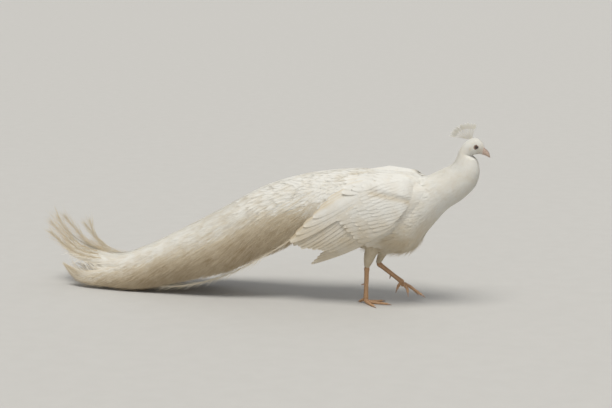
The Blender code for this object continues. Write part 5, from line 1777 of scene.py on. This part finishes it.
def legs(leg_look, claw_look):
    """Scaly shanks and feet, claws and spurs."""
    for side, hock, heel, toes in LEGS:
        hock, heel = np.array(hock), np.array(heel)
        bare = Piece("leg_" + side, "leg_skin", leg_look)
        toe_sheets = [toe_sheet(joints) for joints in toes.values()]
        add_tiles(bare, [shank_sheet(hock, heel), *toe_sheets, foot_hub(heel)])
        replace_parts(bare.build(), "shank_" + side, "foot_" + side)
        claws = Piece("claws_" + side, "claw_horn", claw_look)
        add_tiles(claws, [*claw_sheets(toes), spur_sheet(hock, heel)])
        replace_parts(claws.build(), "spur_" + side, *(f"claw_{side}_{toe}" for toe in toes))


def feed(made, inputs):
    """Sets a node's inputs to values, or links them to the outputs of other nodes."""
    for key, value in inputs.items():
        if isinstance(value, bpy.types.NodeSocket):
            made.id_data.links.new(value, made.inputs[key])
        else:
            made.inputs[key].default_value = value


def node(tree, kind, inputs=None, **settings):
    """Adds a node with its settings and inputs."""
    made = tree.nodes.new(kind)
    for key, value in settings.items():
        setattr(made, key, value)
    feed(made, inputs or {})
    return made


def new_material(name):
    """A material, its node tree and its main shader."""
    material = bpy.data.materials.new(name)
    material.use_nodes = True
    return material, material.node_tree, material.node_tree.nodes["Principled BSDF"]


def tint_of(tree):
    """The tint of the mesh at each point."""
    return node(tree, "ShaderNodeAttribute", attribute_name="tint").outputs["Fac"]


def mottle(tree, scale, detail):
    """Soft random patches."""
    where = node(tree, "ShaderNodeTexCoord")
    inputs = {"Vector": where.outputs["Object"], "Scale": scale, "Detail": detail}
    return node(tree, "ShaderNodeTexNoise", inputs).outputs["Fac"]


def colour_ramp(tree, share, stops):
    """A colour for each share, from stops of (place, colour) with the two ends first."""
    made = node(tree, "ShaderNodeValToRGB", {"Fac": share})
    elements = made.color_ramp.elements
    for k, (place, colour) in enumerate(stops):
        element = elements[k] if k < 2 else elements.new(place)
        element.position = place
        element.color = (*colour, 1)
    return made.outputs["Color"]


def bump(tree, height, strength, distance):
    """The lie of a surface with fine relief."""
    inputs = {"Height": height, "Strength": strength, "Distance": distance}
    return node(tree, "ShaderNodeBump", inputs).outputs["Normal"]


def mix(tree, share, low, high):
    """Turns from one colour to another as the share rises."""
    inputs = {"Factor": share, "A": low, "B": high}
    return node(tree, "ShaderNodeMix", inputs, data_type="RGBA").outputs["Result"]


def tint_between(tree, low, high):
    """How far the tint has come from low to high."""
    inputs = {"Value": tint_of(tree), "From Min": low, "From Max": high}
    return node(tree, "ShaderNodeMapRange", inputs).outputs["Result"]


def base_colour(material):
    """A material's node tree, its main shader and what feeds that shader's colour."""
    tree = material.node_tree
    shader = tree.nodes["Principled BSDF"]
    return tree, shader, shader.inputs["Base Color"].links[0].from_socket


def feather_material():
    """White plumage with fine barbs, which turns cream and tan towards the roots and where its tint rises:
    painted shade at roots, covered edges and under the hump, and low on the bird partly stain and partly
    painted shade.
    """
    material, tree, shader = new_material("feather")
    noise = mottle(tree, FEATHER_PATCHES, 3.0)
    patches = {"Value": noise, "From Min": 0.35, "From Max": 0.75, "To Min": -0.05, "To Max": 0.12}
    patchy = node(tree, "ShaderNodeMapRange", patches).outputs["Result"]
    total = node(tree, "ShaderNodeMath", {0: tint_of(tree), 1: patchy}, operation="ADD", use_clamp=True)
    # The tint's painted shade, and partly stain low on the bird, turns the white to cream and tan.
    colour = colour_ramp(tree, total.outputs[0], ((0.0, WHITE), (1.0, TAN), (0.45, CREAM)))
    barbs = node(tree, "ShaderNodeUVMap", uv_map="barbs").outputs["UV"]
    lines = {"Vector": barbs, "Scale": FEATHER_BARBS, "Distortion": 1.5}
    wave = node(tree, "ShaderNodeTexWave", lines, wave_type="BANDS", bands_direction="DIAGONAL")
    relief = bump(tree, wave.outputs["Fac"], 0.25, 0.0006)
    finish = {"Roughness": FEATHER_ROUGHNESS, "Sheen Weight": FEATHER_SHEEN}
    feed(shader, {**finish, "Base Color": colour, "Normal": relief})
    through = node(tree, "ShaderNodeBsdfTranslucent", {"Color": colour})
    shaders = {"Fac": FEATHER_THROUGH, 1: shader.outputs["BSDF"], 2: through.outputs["BSDF"]}
    both = node(tree, "ShaderNodeMixShader", shaders)
    feed(tree.nodes["Material Output"], {"Surface": both.outputs["Shader"]})
    return material


def plain_material(name, coat=0.0):
    """Two close colours mottled together, with a fine grain."""
    colour, other, roughness, scale, grain = LOOKS[name]
    material, tree, shader = new_material(name)
    noise = mottle(tree, scale, 4.0)
    mottled = colour_ramp(tree, noise, ((0.35, colour), (0.68, other)))
    relief = bump(tree, noise, 0.4, grain)
    feed(shader, {"Roughness": roughness, "Coat Weight": coat, "Base Color": mottled, "Normal": relief})
    return material


def horn_material(name):
    """Scales or horn that turn darker where the tint is high."""
    material = plain_material(name)
    tree, shader, plain = base_colour(material)
    feed(shader, {"Base Color": mix(tree, tint_of(tree), plain, (*DARK_LOOKS[name], 1))})
    return material


def eye_material():
    """A dark brown iris round a black pupil, under a clear wet surface."""
    material = plain_material("eye", coat=1.0)
    tree, shader, _ = base_colour(material)
    feed(shader, {"Base Color": colour_ramp(tree, tint_of(tree), EYE_COLOURS)})
    return material


def skin_material():
    """Cream skin under the coat, which is pinkish brown and finely wrinkled on the bare face."""
    material = plain_material("face")
    tree, shader, bare = base_colour(material)
    face = mix(tree, tint_between(tree, 0.0, 0.5), (*SKIN_CREAM, 1), bare)
    feed(shader, {"Base Color": mix(tree, tint_between(tree, 0.5, 1.0), face, (*LID_BROWN, 1))})
    return material


def stage():
    """A wide pale floor, soft light and the photograph's camera."""
    scene = bpy.context.scene
    bpy.ops.mesh.primitive_plane_add(size=FLOOR_SIZE, location=(0, 0, 0))
    floor = bpy.context.object
    floor.name = "floor"
    floor.data.materials.append(plain_material("floor"))
    floor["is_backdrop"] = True
    world = bpy.data.worlds.new("studio")
    scene.world = world
    world.use_nodes = True
    feed(world.node_tree.nodes["Background"], {"Color": SKY_COLOUR, "Strength": SKY_POWER})
    for name, turn, width, power, colour in SUNS:
        light = bpy.data.lights.new(name, "SUN")
        light.angle = width
        light.energy = power
        light.color = colour
        lamp = bpy.data.objects.new(name, light)
        lamp.rotation_euler = [math.radians(angle) for angle in turn]
        scene.collection.objects.link(lamp)
    camera = bpy.data.objects.new("camera", bpy.data.cameras.new("camera"))
    camera.data.sensor_width = SENSOR
    camera.data.lens = SENSOR * FOCAL_PIXELS / PHOTO_WIDTH
    camera.location = Vector(CAMERA_PLACE) + SHIFT
    camera.rotation_euler = (math.radians(90 - CAMERA_PITCH), 0, math.radians(CAMERA_TURN))
    scene.collection.objects.link(camera)
    scene.camera = camera
    scene.view_settings.view_transform = "Standard"


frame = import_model()
CAD_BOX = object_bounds()
eye_low, eye_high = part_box("eye_right")
SHIFT = (eye_low + eye_high) / 2 - Vector((EYE_CENTRE[0], -EYE_CENTRE[1], EYE_CENTRE[2]))

stage()
feather = feather_material()
skin_look = skin_material()
horn = horn_material("bill_horn")
leg = horn_material("leg_skin")
claw = horn_material("claw_horn")
eye = eye_material()
looks = {"bill": horn, "eye": eye, "shank": leg, "foot": leg, "claw": claw, "spur": claw}
for name, obj in frame["nodes"].items():
    obj.data.materials.clear()
    obj.data.materials.append(looks.get(name.split("_")[0], feather))

skin(skin_look)
body_coat(feather)
body_down(feather)
thigh_coat(feather, "right", RIGHT_THIGH)
thigh_coat(feather, "left", LEFT_THIGH)
for side, hand in SIDES:
    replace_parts(wing_coat(feather, side, hand), "wing_" + side)
legs(leg, claw)
bill(horn)
for side, hand in SIDES:
    eye_ball(eye, side, hand)
    eye_lids(skin_look, side, hand)
back_scales(feather)
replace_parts(train_feathers(feather), "train")
train_ends(feather)
low_train(feather)
loose_feathers(feather)
train_filaments(feather)
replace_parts(tail_feathers(feather), "tail")
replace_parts(crest_feathers(feather), "crest")

for name, box in (("cad", CAD_BOX), ("visual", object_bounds())):
    [[float(v) for v in corner] for corner in box]
